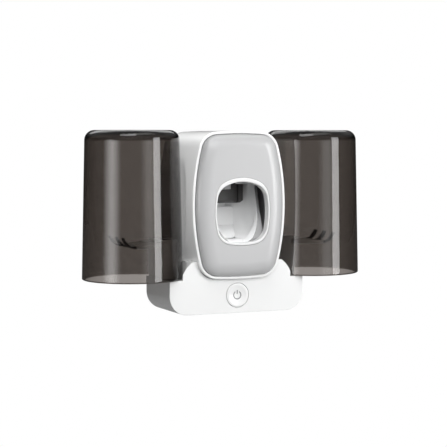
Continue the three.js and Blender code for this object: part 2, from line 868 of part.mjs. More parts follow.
// Return spring: one wire wound round an axis along Y
function paddleSpring() {
  const wire = springWire / 2;
  const length = springLength - springWire;
  class Coil extends THREE.Curve {
    getPoint(t, target = new THREE.Vector3()) {
      const angle = 2 * Math.PI * springTurns * t;
      return target.set(
        springRadius * Math.cos(angle),
        springFront + wire + length * t,
        springHeight + springRadius * Math.sin(angle),
      );
    }
  }
  const pitch = length / springTurns;
  console.log("least gap between the spring's turns " + (pitch - springWire).toFixed(2) + " mm");
  return new THREE.ExtrudeGeometry(circle(wire, wireSides), {
    steps: wireSteps * springTurns,
    extrudePath: new Coil(),
    bevelEnabled: false,
  });
}

// Pump block: fixed in the upper half pipe, with a notch for the nozzle and a cave for the slider
const riserFront = hoseAxis + nozzleHalfWidth + seatGap + squeezeStroke;
const riserBack = riserFront + squeezeThickness;
const noseFront = hoseAxis + hoseRadius + slideGap;
const noseHalfWidth = hoseRadius - noseInset;

function pumpBlock() {
  const caveHalf = squeezeHalfWidth + slideGap;
  const notchHalf = nozzleHalfWidth + seatGap;
  const face = -pumpFront;
  const back = chamberAxis + chamberRadius;
  const under = pumpBottom - overshoot;
  const over = pumpTop + overshoot;
  const pipe = roundZ(chamberRadius - seatGap, 0, chamberAxis, under, over, roundSteps);
  const cave = block(
    -caveHalf,
    caveHalf,
    face + pumpFrontWall,
    back + overshoot,
    under,
    noseTop + slideGap,
  );
  const notch = block(
    -notchHalf,
    notchHalf,
    face - overshoot,
    hoseAxis + nozzleHalfWidth + seatGap,
    nozzleBottom - seatGap,
    over,
  );
  const pump = block(-pumpHalfWidth, pumpHalfWidth, face, back, pumpBottom, pumpTop);
  return pump.intersect(pipe).subtract(cave).subtract(notch);
}

function pasteNozzle() {
  const front = -pumpFront - nozzleProud;
  const back = hoseAxis + nozzleHalfWidth;
  const bore = hoseRadius + seatGap / 2;
  const under = nozzleBottom - overshoot;
  const over = pumpTop + overshoot;
  const slot = noseHalfWidth + seatGap;
  const slotBottom = noseTop - squeezeNose - slideGap;
  const slotTop = noseTop + slideGap;
  const nozzle = block(-nozzleHalfWidth, nozzleHalfWidth, front, back, nozzleBottom, pumpTop);
  return nozzle
    .subtract(roundZ(bore, 0, hoseAxis, under, over))
    .subtract(block(-slot, slot, hoseAxis, back + overshoot, slotBottom, slotTop));
}

function pumpHose() {
  const bottom = nozzleBottom;
  const top = pumpTop + seatGap + hoseRise;
  const bore = hoseRadius - hoseWall;
  const tube = turned([
    [bore, bottom],
    [hoseRadius, bottom],
    [hoseRadius, top],
    [bore, top],
    [bore, bottom],
  ]);
  return tube.translate(0, hoseAxis, 0);
}

// Slider that squeezes the hose: a tail behind, a riser and a nose in front
function squeezeSlider() {
  const half = squeezeHalfWidth;
  const tail = block(-half, half, riserFront, tailBack, tailBottom, tailTop);
  const riser = block(-half, half, riserFront, riserBack, tailTop, noseTop);
  const nose = block(
    -noseHalfWidth,
    noseHalfWidth,
    noseFront,
    riserBack,
    noseTop - squeezeNose,
    noseTop,
  );
  return tail.add(riser).add(nose);
}

// Tube socket: a soft cup on the pump that grips the neck of a toothpaste tube
function tubeSocket() {
  const bottom = pumpTop + seatGap;
  const crownEdge = towerCentre + towerForm.halfHeight - towerWall - seatGap;
  const sag = socketRadius ** 2 / (2 * (towerForm.crownBow - towerWall));
  const top = crownEdge - sag;
  const throat = hoseRadius + seatGap / 2;
  const cup = turned([
    [throat, bottom],
    [socketRadius, bottom],
    [socketRadius, top],
    [socketBore, top],
    [socketBore, bottom + socketFloor + socketBore - throat],
    [throat, bottom + socketFloor],
    [throat, bottom],
  ]);
  return cup.translate(0, hoseAxis, 0);
}

// Tumbler: one turned wall with a thick closed end
function cup() {
  const slope = (cupMouthRadius - cupTopRadius) / cupHeight;
  const outerAt = (height) => cupMouthRadius - slope * height;
  const innerAt = (height) => outerAt(height) - cupWall;
  const innerTop = cupHeight - cupEndWall;
  const innerEdge = cupEdgeRadius - cupWall;
  const edgeStart = cupHeight - cupEdgeRadius;
  const innerStart = innerTop - innerEdge;
  const edgeAxis = outerAt(edgeStart) - cupEdgeRadius;
  const innerAxis = innerAt(innerStart) - innerEdge;
  const up = Math.PI / 2;
  return turned(
    [
      [0, innerTop],
      ...arcPoints(innerAxis, innerStart, innerEdge, up, 0, cornerSteps / 2),
      [innerAt(0), 0],
      [cupMouthRadius, 0],
      ...arcPoints(edgeAxis, edgeStart, cupEdgeRadius, 0, up),
      [0, cupHeight],
    ],
    roundSteps,
  );
}

// Brush rack of the right side: a hollow post on the base, a plate and straight prongs
const prongRoot = baseHalf + rackWeb;
const prongEnd = cupX + prongReach;
const prongBottom = rackPlateTop - rackThickness;
const prongMiddle = (prongCount - 1) / 2;
const prongPlaces = Array.from({ length: prongCount }, (_, i) => (i - prongMiddle) * prongPitch);
const rackSpan = prongPlaces.at(-1) + prongWidth / 2;
const postInner = cupX - rackRadius;
const lensX = (postInner + baseHalf) / 2;
const lensSeat = rackPostTop - lensThickness - seatGap;
const postCeiling = lensSeat - lensThickness;

function rack() {
  const bottom = baseHeight + seatGap;
  const under = bottom - overshoot;
  const over = rackPostTop + overshoot;
  const inner = postInner - overshoot;
  const wall = rackPostWall;
  const front = -rackPostFront;
  const keep = roundZ(rackRadius, cupX, 0, under, over, recessSteps);
  const room = roundZ(rackRadius - wall, cupX, 0, under, postCeiling, recessSteps);
  const post = block(inner, baseHalf, front, rackPostBack, bottom, rackPostTop).intersect(keep);
  const hollow = block(
    inner,
    baseHalf - wall,
    front + wall,
    rackPostBack - wall,
    under,
    postCeiling,
  ).intersect(room);
  const plateInner = baseHalf - wall;
  let body = post
    .subtract(hollow)
    .add(block(plateInner, prongRoot, -rackSpan, rackSpan, prongBottom, rackPlateTop));
  for (const y of prongPlaces) {
    const near = y - prongWidth / 2;
    const far = y + prongWidth / 2;
    body = body.add(block(plateInner, prongEnd, near, far, prongBottom, rackPlateTop));
  }
  body = body.subtract(roundZ(lensRadius + seatGap, lensX, 0, lensSeat, over));
  return body.subtract(roundZ(lensRadius - lensLip, lensX, 0, postCeiling - overshoot, over));
}

// Soft upturned tip that is pushed against the end of a prong
function prongTip() {
  const start = prongEnd + seatGap;
  const centreZ = rackPlateTop + tipBend;
  const from = -Math.PI / 2;
  const to = from + tipSweep;
  const middle = tipBend + rackThickness / 2;
  const shape = new THREE.Shape();
  shape.absarc(start, centreZ, tipBend + rackThickness, from, to);
  shape.absarc(
    start + middle * Math.cos(to),
    centreZ + middle * Math.sin(to),
    rackThickness / 2,
    to,
    to + Math.PI,
  );
  shape.absarc(start, centreZ, tipBend, to, from, true);
  return alongY(shape, -prongWidth / 2, prongWidth / 2);
}

function lampLens() {
  return roundZ(lensRadius, lensX, 0, lensSeat + seatGap, rackPostTop);
}

const lampBoardTop = postCeiling - seatGap;

function lampBoard() {
  const reach = lampBoardLength / 2;
  const chip = chipSize / 2;
  const bottom = lampBoardTop - lampBoardThickness;
  const chipTop = lampBoardTop + chipHeight;
  const roomInner = cupX - Math.sqrt((rackRadius - rackPostWall) ** 2 - reach ** 2);
  const near = roomInner + lampBoardGap;
  const far = baseHalf - rackPostWall - lampBoardGap;
  const plate = block(near, far, -reach, reach, bottom, lampBoardTop);
  return plate.add(block(lensX - chip, lensX + chip, -chip, chip, bottom, chipTop));
}

// Lead from the main board to a lamp board, held inside the base and the post
function lampLead() {
  const path = new THREE.CatmullRomCurve3([
    new THREE.Vector3(boardLength / 2 + seatGap, boardFront + leadRadius, baseScrewZ),
    new THREE.Vector3(boardLength / 2 + 5, boardFront, baseScrewZ),
    new THREE.Vector3(leadHoleX - 3, boardFront + 6, baseScrewZ + 1),
    new THREE.Vector3(leadHoleX, -1, baseScrewZ + 5),
    new THREE.Vector3(leadHoleX, 0, baseHeight),
    new THREE.Vector3(leadHoleX, 0, baseHeight + 8),
    new THREE.Vector3(lensX, 0, lampBoardTop - lampBoardThickness - seatGap),
  ]);
  return new THREE.ExtrudeGeometry(circle(leadRadius, leadSides), {
    steps: leadSteps,
    extrudePath: path,
    bevelEnabled: false,
  });
}

// Assembly: the part's origin is under the middle of the space that it takes up
const holder = new THREE.Group();
holder.position.y = (cupMouthRadius - wallPlane) / 2;

holder.add(
  piece("base_shell", baseShell(), whiteGloss),
  piece("base_cover", baseCover(), whiteGloss),
  powerButton(),
  piece("tact_switch", tactSwitch(), darkPlastic),
  piece("main_board", mainBoard(), board),
  piece("battery", battery(), batterySleeve),
  piece("charge_inlet", chargeInlet(), steel),
  piece("tower_shell", towerShell(), whiteGloss),
  piece("rear_cover", rearCover(), whiteGloss),
  piece("wall_plate", wallPlate(), innerWhite),
  piece("adhesive_pad", adhesivePad(), foam),
  piece("front_cover", frontCover(), greyPanel),
  piece("window_bezel", windowBezel(), whiteGloss),
  piece("brush_chamber", brushChamber(), innerWhite),
  piece("push_paddle", pushPaddle(), innerWhite),
  piece("paddle_pin", paddlePin(), steel),
  piece("paddle_spring", paddleSpring(), steel),
  piece("pump_block", pumpBlock(), darkPlastic),
  piece("paste_nozzle", pasteNozzle(), innerWhite),
  piece("pump_hose", pumpHose(), silicone),
  piece("squeeze_slider", squeezeSlider(), innerWhite),
  piece("tube_socket", tubeSocket(), silicone),
);

towerBossPlaces.forEach(([x, z], i) => {
  holder.add(screwFromBack(`rear_screw_${i + 1}`, x, z, rearCoverBack));
});

for (const [side, name] of [[-1, "left"], [1, "right"]]) {
  holder.add(screwFromBack(`base_screw_${name}`, side * baseScrewX, baseScrewZ, baseBack));
  const towerScrew = piece(`tower_screw_${name}`, screw(), steel);
  towerScrew.rotation.x = Math.PI;
  towerScrew.position.set(side * towerScrewPlace, towerScrewDepth, innerCeiling - seatGap);
  holder.add(towerScrew);

  const cupMesh = piece(`cup_${name}`, cup(), smoked);
  cupMesh.position.set(side * cupX, 0, baseHeight + seatGap);
  holder.add(cupMesh);

  const mirrored = new THREE.Group();
  mirrored.scale.x = side;
  mirrored.add(
    piece(`rack_${name}`, rack(), whiteGloss),
    piece(`lamp_lens_${name}`, lampLens(), lampGlass),
    piece(`lamp_board_${name}`, lampBoard(), board),
    piece(`lamp_lead_${name}`, lampLead(), leadSleeve),
  );
  prongPlaces.forEach((y, i) => {
    const tip = piece(`prong_tip_${name}_${i + 1}`, prongTip(), darkSilicone);
    tip.position.y = y;
    mirrored.add(tip);
  });
  holder.add(mirrored);
}

const part = new THREE.Group();
part.add(holder);

export default part;
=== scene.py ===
import math

import bmesh
import bpy
from mathutils import Matrix, Vector


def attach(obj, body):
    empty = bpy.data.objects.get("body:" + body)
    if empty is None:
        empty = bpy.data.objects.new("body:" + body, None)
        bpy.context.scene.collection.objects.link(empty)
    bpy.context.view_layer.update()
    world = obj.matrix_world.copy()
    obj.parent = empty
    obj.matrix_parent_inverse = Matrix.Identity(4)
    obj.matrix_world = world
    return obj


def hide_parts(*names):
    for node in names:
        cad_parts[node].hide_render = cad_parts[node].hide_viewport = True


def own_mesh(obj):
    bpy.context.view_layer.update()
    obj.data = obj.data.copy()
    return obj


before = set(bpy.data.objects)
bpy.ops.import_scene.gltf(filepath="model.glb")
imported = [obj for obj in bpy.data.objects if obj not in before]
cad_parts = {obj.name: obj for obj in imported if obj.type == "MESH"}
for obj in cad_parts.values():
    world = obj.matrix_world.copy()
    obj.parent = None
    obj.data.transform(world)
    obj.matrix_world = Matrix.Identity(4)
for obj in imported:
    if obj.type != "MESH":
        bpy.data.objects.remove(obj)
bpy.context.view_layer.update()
scene = bpy.context.scene
scene.view_settings.view_transform = "Standard"

# Camera. The picture is taken from the front left, hardly above the middle of the holder,
# through a long lens that keeps upright edges upright.
EYE = Vector((-0.4021, -0.9166, 0.1240))
AIM = Vector((-0.0001, -0.0009, 0.0610))
camera_data = bpy.data.cameras.new("camera")
camera_data.lens = 113.4
camera_data.sensor_width = 36
camera = bpy.data.objects.new("camera", camera_data)
camera.location = EYE
camera.rotation_euler = (AIM - EYE).to_track_quat("-Z", "Y").to_euler()
scene.collection.objects.link(camera)
scene.camera = camera


# Background. The holder hangs in a white room. Reflections show its pale ceiling, and a dim
# band at the holder's own height, where dark screens keep the tumblers' walls clear.
class Shade:
    """A socket in a tree of nodes. Sums on it add Math nodes, and node() adds any other."""

    def __init__(self, tree, socket=None):
        self.tree = tree
        self.socket = socket

    def node(self, kind, settings=None, inputs=None, output=0):
        made = self.tree.nodes.new(kind)
        for name, value in (settings or {}).items():
            setattr(made, name, value)
        for name, value in (inputs or {}).items():
            if isinstance(value, Shade):
                self.tree.links.new(value.socket, made.inputs[name])
            else:
                made.inputs[name].default_value = value
        return Shade(self.tree, made.outputs[output] if made.outputs else None)

    def sum(self, operation, first, second):
        return self.node("ShaderNodeMath", {"operation": operation}, {0: first, 1: second})

    def __add__(self, other):
        return self.sum("ADD", self, other)

    def __radd__(self, other):
        return self.sum("ADD", other, self)

    def __sub__(self, other):
        return self.sum("SUBTRACT", self, other)

    def __rsub__(self, other):
        return self.sum("SUBTRACT", other, self)

    def __mul__(self, other):
        return self.sum("MULTIPLY", self, other)

    def __rmul__(self, other):
        return self.sum("MULTIPLY", other, self)

    def __pow__(self, other):
        return self.sum("POWER", self, other)

    def between(self, low, high, start=0.0, end=1.0):
        """A smooth rise from start to end as this value goes from low to high."""
        return self.node(
            "ShaderNodeMapRange",
            {"interpolation_type": "SMOOTHSTEP"},
            {"Value": self, "From Min": low, "From Max": high, "To Min": start, "To Max": end},
        )


def seen_straight(start):
    """One for what the camera sees, itself or through a clear piece, and nought for the rest."""
    seen = start.node("ShaderNodeLightPath", output="Is Camera Ray")
    through = start.node("ShaderNodeLightPath", output="Is Transmission Ray")
    return start.sum("MAXIMUM", seen, through)


AMBIENT = 0.1
ROOM_LEVEL = 0.015
ROOM_ABOVE = 0.4
CEILING = (0.15, 0.6)
world = bpy.data.worlds.new("white_room")
world.use_nodes = True
world.node_tree.nodes.clear()
scene.world = world
room = Shade(world.node_tree)
straight = seen_straight(room)
mirrored = room.node("ShaderNodeLightPath", output="Is Glossy Ray")
direction = room.node("ShaderNodeTexCoord", output="Generated")
height = room.node("ShaderNodeSeparateXYZ", {}, {"Vector": direction}, "Z")
reflected = height.between(*CEILING, ROOM_LEVEL, ROOM_ABOVE)
lit = AMBIENT + mirrored * (reflected - AMBIENT)
backdrop = room.node(
    "ShaderNodeBackground",
    {},
    {"Color": (1, 1, 1, 1), "Strength": straight + (1 - straight) * lit},
)
room.node("ShaderNodeOutputWorld", {}, {"Surface": backdrop})


# Lamps. Softboxes in front, above, behind and on both sides light the faces. The strip lamp
# draws the sharp strip down each tumbler, and the band lamp, low on the left, the soft band.
# No direct light passes the tumblers here, so some lamps are linked to the pieces they light.
def softbox(name, azimuth, elevation, distance, width, height, brightness, fade=0.0):
    """Hangs a softbox that faces the holder. Azimuth 0 is in front and 90 is on the right.
    Its light fades towards its two upright edges over that share of its half-width."""
    turn, rise = math.radians(azimuth), math.radians(elevation)
    way = Vector((
        math.sin(turn) * math.cos(rise),
        -math.cos(turn) * math.cos(rise),
        math.sin(rise),
    ))
    data = bpy.data.lights.new(name, "AREA")
    data.shape = "RECTANGLE"
    data.size = width
    data.size_y = height
    data.energy = brightness * math.pi * width * height
    if fade:
        data.use_nodes = True
        data.node_tree.nodes.clear()
        start = Shade(data.node_tree)
        spot = start.node("ShaderNodeNewGeometry", output="Parametric")
        across = start.node("ShaderNodeSeparateXYZ", {}, {"Vector": spot}, "X")
        rim = fade / 2
        even = across.between(0.0, rim) * across.between(1 - rim, 1.0, 1.0, 0.0)
        glow = start.node("ShaderNodeEmission", {}, {"Strength": even})
        start.node("ShaderNodeOutputLight", {}, {"Surface": glow})
    lamp = bpy.data.objects.new(name, data)
    lamp.location = AIM + way * distance
    lamp.rotation_euler = way.to_track_quat("Z", "Y").to_euler()
    lamp.visible_camera = False
    scene.collection.objects.link(lamp)
    return lamp


def lit_only(lamp, *pieces):
    """Keeps a lamp's light to some pieces."""
    lit = bpy.data.collections.new(lamp.name)
    for piece in pieces:
        lit.objects.link(piece)
    lamp.light_linking.receiver_collection = lit
    return lit


front_lamp = softbox("front_lamp", -8, 29, 1.6, 1.5, 1.0, 2.9)
softbox("left_lamp", -40, 62, 1.3, 0.6, 0.6, 3.5)
softbox("top_lamp", 24, 72, 1.3, 1.0, 0.6, 1.2)
softbox("strip_lamp", 39.5, 10, 2.2, 0.74, 1.3, 7.1)
softbox("spill_lamp", 18, 1, 1.3, 1.2, 0.3, 1.7, 1.0)
band_lamp = softbox("band_lamp", -69.5, 1, 1.3, 1.12, 0.3, 5.0, 1.0)
softbox("back_lamp", 165, 45, 1.5, 1.6, 1.0, 1.5)
side_lamp = softbox("side_lamp", -80, 45, 1.3, 0.9, 0.9, 3.3)
window_lamp = softbox("window_lamp", -8, 52, 1.3, 0.5, 0.5, 22)
right_lamp = softbox("right_lamp", 60, 8, 1.4, 0.4, 0.8, 1.6)

# Floor. It is plain and pale and lies well below the holder, which hangs on a wall, so its
# shadow falls out of the picture, and far off it fades into the white room.
FLOOR_DROP = 0.25
FLOOR_HALF = 6
FLOOR_NEAR = 0.35
FLOOR_FAR = 0.62
FLOOR_WHITE = 0.55
FLOOR_TONE = 0.4


def paint(name):
    """An empty material, and the place on the piece that its nodes start from."""
    material = bpy.data.materials.new(name)
    material.use_nodes = True
    material.node_tree.nodes.clear()
    return material, Shade(material.node_tree).node("ShaderNodeTexCoord", output="Object")


def floor_paint():
    material, place = paint("pale_floor")
    away = place.node("ShaderNodeVectorMath", {"operation": "LENGTH"}, {0: place}, "Value")
    share = seen_straight(place) * away.between(FLOOR_NEAR, FLOOR_FAR, FLOOR_WHITE, 1.0)
    tone = (FLOOR_TONE, FLOOR_TONE, FLOOR_TONE, 1)
    matt = place.node("ShaderNodeBsdfDiffuse", {}, {"Color": tone})
    white = place.node("ShaderNodeEmission", {}, {"Color": (1, 1, 1, 1), "Strength": 1.0})
    mixed = place.node("ShaderNodeMixShader", {}, {0: share, 1: matt, 2: white})
    place.node("ShaderNodeOutputMaterial", {}, {"Surface": mixed})
    return material


floor_shape = bmesh.new()
bmesh.ops.create_grid(floor_shape, x_segments=2, y_segments=2, size=FLOOR_HALF)
bmesh.ops.translate(floor_shape, vec=(0, 0, -FLOOR_DROP), verts=floor_shape.verts)
floor_mesh = bpy.data.meshes.new("floor")
floor_shape.to_mesh(floor_mesh)
floor_shape.free()
floor_mesh.materials.append(floor_paint())
floor = bpy.data.objects.new("floor", floor_mesh)
scene.collection.objects.link(floor)

# Base. One glossy white moulding: a tray with round lower corners, and on it a neck with two
# horns that cradle the tower. Its sides are hollowed where the tumblers stand beside them.
# Sizes are in millimetres, and turns are named as they look from the front.
MM = 0.001
MERGE = 1e-4
SHARP = math.radians(32)
CLOCKWISE = (0, 1, 0)
ANTICLOCKWISE = (0, -1, 0)
TOWER = {"half_width": 35.1, "half_height": 51.5, "side_bow": 164, "crown_bow": 250, "corner": 14}
TOWER_MIDDLE = 75.3
CUP_X = 69
CUP_Y = -1
NEST_RADIUS = 36.8
NEST_REACH = 0.4
SEAT_GAP = 0.3
BASE_HALF = 50.8
BASE_TOP = 24
BASE_FRONT = -25
BASE_BACK = 20.4
BASE_CORNER = 13
BASE_WALL = 2.2
BASE_SOFTNESS = 0.5
BASE_SLICES = 26
BASE_DRILL = (20, 26)
NECK_HALF = 41.1
NECK_TOP = 27.7
HORN_HALF = 34
HORN_TOP = 36.3
HORN_SWELL = 0.8
BUTTON_HEIGHT = 12.3
BUTTON_RADIUS = 8.4
SCREW_PILOT = 1.6
PILOT_DEPTH = 9
BOSS_RADIUS = 4
BOSS_LENGTH = 12
BOSS_INSET = 2.5
BASE_SCREW = (45.6, 12)
TOWER_SCREW = (12, 14.5)
LEAD_X = 46
LEAD_HOLE = 2.4
WHITE = (0.875, 0.880, 0.878)
# The glow of the painted light on the base's hollows beside the tumblers.
HOLLOW_GLOW = 0.1


def line(bm, vert, *points):
    """Draws straight edges from a vertex through the points, and gives back the last vertex."""
    for point in points:
        end = bm.verts.new(point)
        bm.edges.new((vert, end))
        vert = end
    return vert


def arc(bm, vert, centre, axis, angle, steps):
    """Spins a vertex round a centre, and gives back the vertex at the arc's end."""
    made = bmesh.ops.spin(
        bm, geom=[vert], cent=centre, axis=axis, angle=angle, steps=steps, use_merge=False
    )
    return next(g for g in made["geom_last"] if isinstance(g, bmesh.types.BMVert))


def swollen(bm, vert, end, swell, steps):
    """Draws an arc in X and Z to a point. It stands out by swell on its right-hand side, or on
    its left-hand side where swell is below nought."""
    start = vert.co.copy()
    chord = Vector(end) - start
    half = chord.length / 2
    radius = (half**2 + swell**2) / (2 * swell)
    left = Vector((-chord.z, 0, chord.x)).normalized()
    centre = start + chord / 2 + left * (radius - swell)
    return arc(bm, vert, centre, ANTICLOCKWISE, 2 * math.asin(half / radius), steps)


def bow(form):
    """The centres of a bowed outline's arcs, and the angles at which its corner starts and ends."""
    side = form["half_width"] - form["side_bow"]
    crown = form["half_height"] - form["crown_bow"]
    to_side = form["side_bow"] - form["corner"]
    to_crown = form["crown_bow"] - form["corner"]
    apart = math.hypot(side, crown)
    along = (to_side**2 - to_crown**2 + apart**2) / (2 * apart)
    across = math.sqrt(to_side**2 - along**2)
    x = side + (along * -side - across * crown) / apart
    z = (along * crown - across * side) / apart
    return side, crown, x, z, math.atan2(z, x - side), math.atan2(z - crown, x)


def outward(bm):
    """Turns every face to the outside."""
    bmesh.ops.recalc_face_normals(bm, faces=bm.faces)
    return bm


def drawn_out(bm, ring, moves):
    """Draws a ring of edges out, one slice for each move, and gives back the last ring."""
    for move in moves:
        made = bmesh.ops.extrude_edge_only(bm, edges=ring)["geom"]
        fresh = {g for g in made if isinstance(g, bmesh.types.BMVert)}
        bmesh.ops.translate(bm, vec=move, verts=list(fresh))
        edges = [g for g in made if isinstance(g, bmesh.types.BMEdge)]
        ring = [e for e in edges if fresh.issuperset(e.verts)]
    return ring


def prism(bm, ring, way, slices=1):
    """Closes a ring of edges, draws it out along a way and closes the far end."""
    bmesh.ops.contextual_create(bm, geom=ring)
    last = drawn_out(bm, ring, [Vector(way) / slices] * slices)
    bmesh.ops.contextual_create(bm, geom=last)
    return outward(bm)


def nested(bm, low=-1e9, reach=1e9):
    """Pushes vertices that stand in a tumbler's hollow back to the hollow's wall."""
    for vert in bm.verts:
        across = vert.co.y - CUP_Y
        if vert.co.z < low or abs(vert.co.x) > reach or abs(across) > NEST_RADIUS:
            continue
        wall = CUP_X - math.sqrt(NEST_RADIUS**2 - across**2)
        vert.co.x = math.copysign(min(abs(vert.co.x), wall), vert.co.x)


def sharp_edges(bm, angle=40, test=None):
    """The outward edges that bend by more than an angle in degrees, where a test holds."""
    limit = math.radians(angle)
    return [
        e
        for e in bm.edges
        if e.is_manifold
        and e.is_convex
        and e.calc_face_angle() > limit
        and (test is None or all(test(v.co) for v in e.verts))
    ]


def softened(bm, edges, width, segments=3):
    """Rounds edges off."""
    bmesh.ops.bevel(
        bm,
        geom=edges,
        offset=width,
        offset_type="OFFSET",
        segments=segments,
        profile=0.5,
        affect="EDGES",
        clamp_overlap=True,
        material=-1,
    )
    return bm


def block(x0, x1, y0, y1, z0, z1, softness=0.0):
    """A block between two corners, with its edges rounded off."""
    bm = bmesh.new()
    bmesh.ops.create_cube(bm, size=1)
    bmesh.ops.scale(bm, vec=(x1 - x0, y1 - y0, z1 - z0), verts=bm.verts)
    middle = ((x0 + x1) / 2, (y0 + y1) / 2, (z0 + z1) / 2)
    bmesh.ops.translate(bm, vec=middle, verts=bm.verts)
    if softness:
        softened(bm, bm.edges[:], softness)
    return bm


def rod(axis, radius, centre, start, end, steps=48):
    """A round rod along an axis. Its centre gives the two places across that axis."""
    bm = bmesh.new()
    bmesh.ops.create_cone(
        bm, cap_ends=True, segments=steps, radius1=radius, radius2=radius, depth=end - start
    )
    middle = (start + end) / 2
    turns = {"X": (math.pi / 2, "Y"), "Y": (math.pi / 2, "X"), "Z": (0, "Z")}
    places = {
        "X": (middle, *centre),
        "Y": (centre[0], middle, centre[1]),
        "Z": (*centre, middle),
    }
    turn = Matrix.Rotation(turns[axis][0], 4, turns[axis][1])
    bmesh.ops.transform(bm, matrix=Matrix.Translation(places[axis]) @ turn, verts=bm.verts)
    return bm


def gathered(*shapes):
    """Several meshes as one, each still a closed shell of its own."""
    whole = bmesh.new()
    for shape in shapes:
        mesh = bpy.data.meshes.new("part")
        shape.to_mesh(mesh)
        shape.free()
        whole.from_mesh(mesh)
        bpy.data.meshes.remove(mesh)
    return whole


def carved(bm, tool, operation="DIFFERENCE"):
    """Cuts a mesh with a tool, or joins the two, and gives back one clean mesh."""
    objects = []
    for shape in (bm, tool):
        mesh = bpy.data.meshes.new("carving")
        shape.to_mesh(mesh)
        shape.free()
        objects.append(bpy.data.objects.new("carving", mesh))
        scene.collection.objects.link(objects[-1])
    modifier = objects[0].modifiers.new("carve", "BOOLEAN")
    modifier.operation = operation
    modifier.solver = "EXACT"
    modifier.object = objects[1]
    graph = bpy.context.evaluated_depsgraph_get()
    result = bpy.data.meshes.new_from_object(objects[0].evaluated_get(graph))
    clean = bmesh.new()
    clean.from_mesh(result)
    bmesh.ops.remove_doubles(clean, verts=clean.verts, dist=MERGE)
    bpy.data.meshes.remove(result)
    for used in objects:
        bpy.data.meshes.remove(used.data)
    return clean


def noise(place, scale, detail):
    """Cloudy noise on a piece."""
    return place.node("ShaderNodeTexNoise", {}, {"Vector": place, "Scale": scale, "Detail": detail})


def toned(share, low, high):
    """A colour that goes from low to high with a share."""
    ends = {0: share, 6: (*low, 1), 7: (*high, 1)}
    return share.node("ShaderNodeMix", {"data_type": "RGBA"}, ends, 2)


def raised(height, strength, distance):
    """A skin that rises and falls with a height."""
    relief = {"Strength": strength, "Distance": distance, "Height": height}
    return height.node("ShaderNodeBump", {}, relief)


def coated(material, place, sockets, **others):
    """Ends a material's nodes with a shader, and gives the material back."""
    shader = place.node("ShaderNodeBsdfPrincipled", {}, sockets)
    place.node("ShaderNodeOutputMaterial", {}, {"Surface": shader, **others})
    return material


def moulded(name, colour, roughness, uneven=0.015, skin=0.05, coat=0.0, glow=0.0):
    """Moulded plastic: a hardly uneven tone, flow marks in the gloss and a finely rippled skin.
    Its glow stands in for light that comes through a clear piece."""
    material, place = paint(name)
    flow = noise(place, 45.0, 4.0)
    ripple = noise(place, 850.0, 2.0)
    dark = [c * (1 - uneven) for c in colour]
    pale = [min(1, c * (1 + uneven)) for c in colour]
    sockets = {
        "Base Color": toned(flow, dark, pale),
        "Roughness": roughness + (flow - 0.5) * (0.25 * roughness),
        "Coat Weight": coat,
        "Coat Roughness": 0.08,
        "Emission Color": (glow, glow, glow, 1),
        "Emission Strength": 1.0,
        "Normal": raised(ripple, skin, 0.0002),
    }
    return coated(material, place, sockets)


def finished(bm, name, body, node, material):
    """Makes a piece in metres of a mesh in millimetres, and puts it in place of a CAD node."""
    bmesh.ops.scale(bm, vec=(MM, MM, MM), verts=bm.verts)
    mesh = bpy.data.meshes.new(name)
    bm.to_mesh(mesh)
    bm.free()
    mesh.shade_smooth()
    mesh.set_sharp_from_angle(angle=SHARP)
    mesh.materials.append(material)
    piece = bpy.data.objects.new(name, mesh)
    scene.collection.objects.link(piece)
    even = piece.modifiers.new("even_shading", "WEIGHTED_NORMAL")
    even.keep_sharp = True
    if node:
        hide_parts(node)
    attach(piece, body)
    return piece


def tray_ring(bm, inset, top, y):
    """The right half of the tray's outline from the middle of its underside, drawn at depth y."""
    half, corner = BASE_HALF - inset, BASE_CORNER - inset
    vert = line(bm, bm.verts.new((0, y, inset)), (half - corner, y, inset))
    centre = (half - corner, y, inset + corner)
    vert = arc(bm, vert, centre, ANTICLOCKWISE, math.pi / 2, 14)
    return line(bm, vert, (half, y, top))


def mirrored_ring(bm):
    """Closes the right half of an outline with its mirror image, and gives back the ring."""
    bmesh.ops.mirror(bm, geom=bm.verts[:] + bm.edges[:], merge_dist=MERGE, axis="X")
    return bm.edges[:]


def tray(inset, top, front, back):
    bm = bmesh.new()
    line(bm, tray_ring(bm, inset, top, front), (0, front, top))
    return prism(bm, mirrored_ring(bm), (0, back - front, 0))


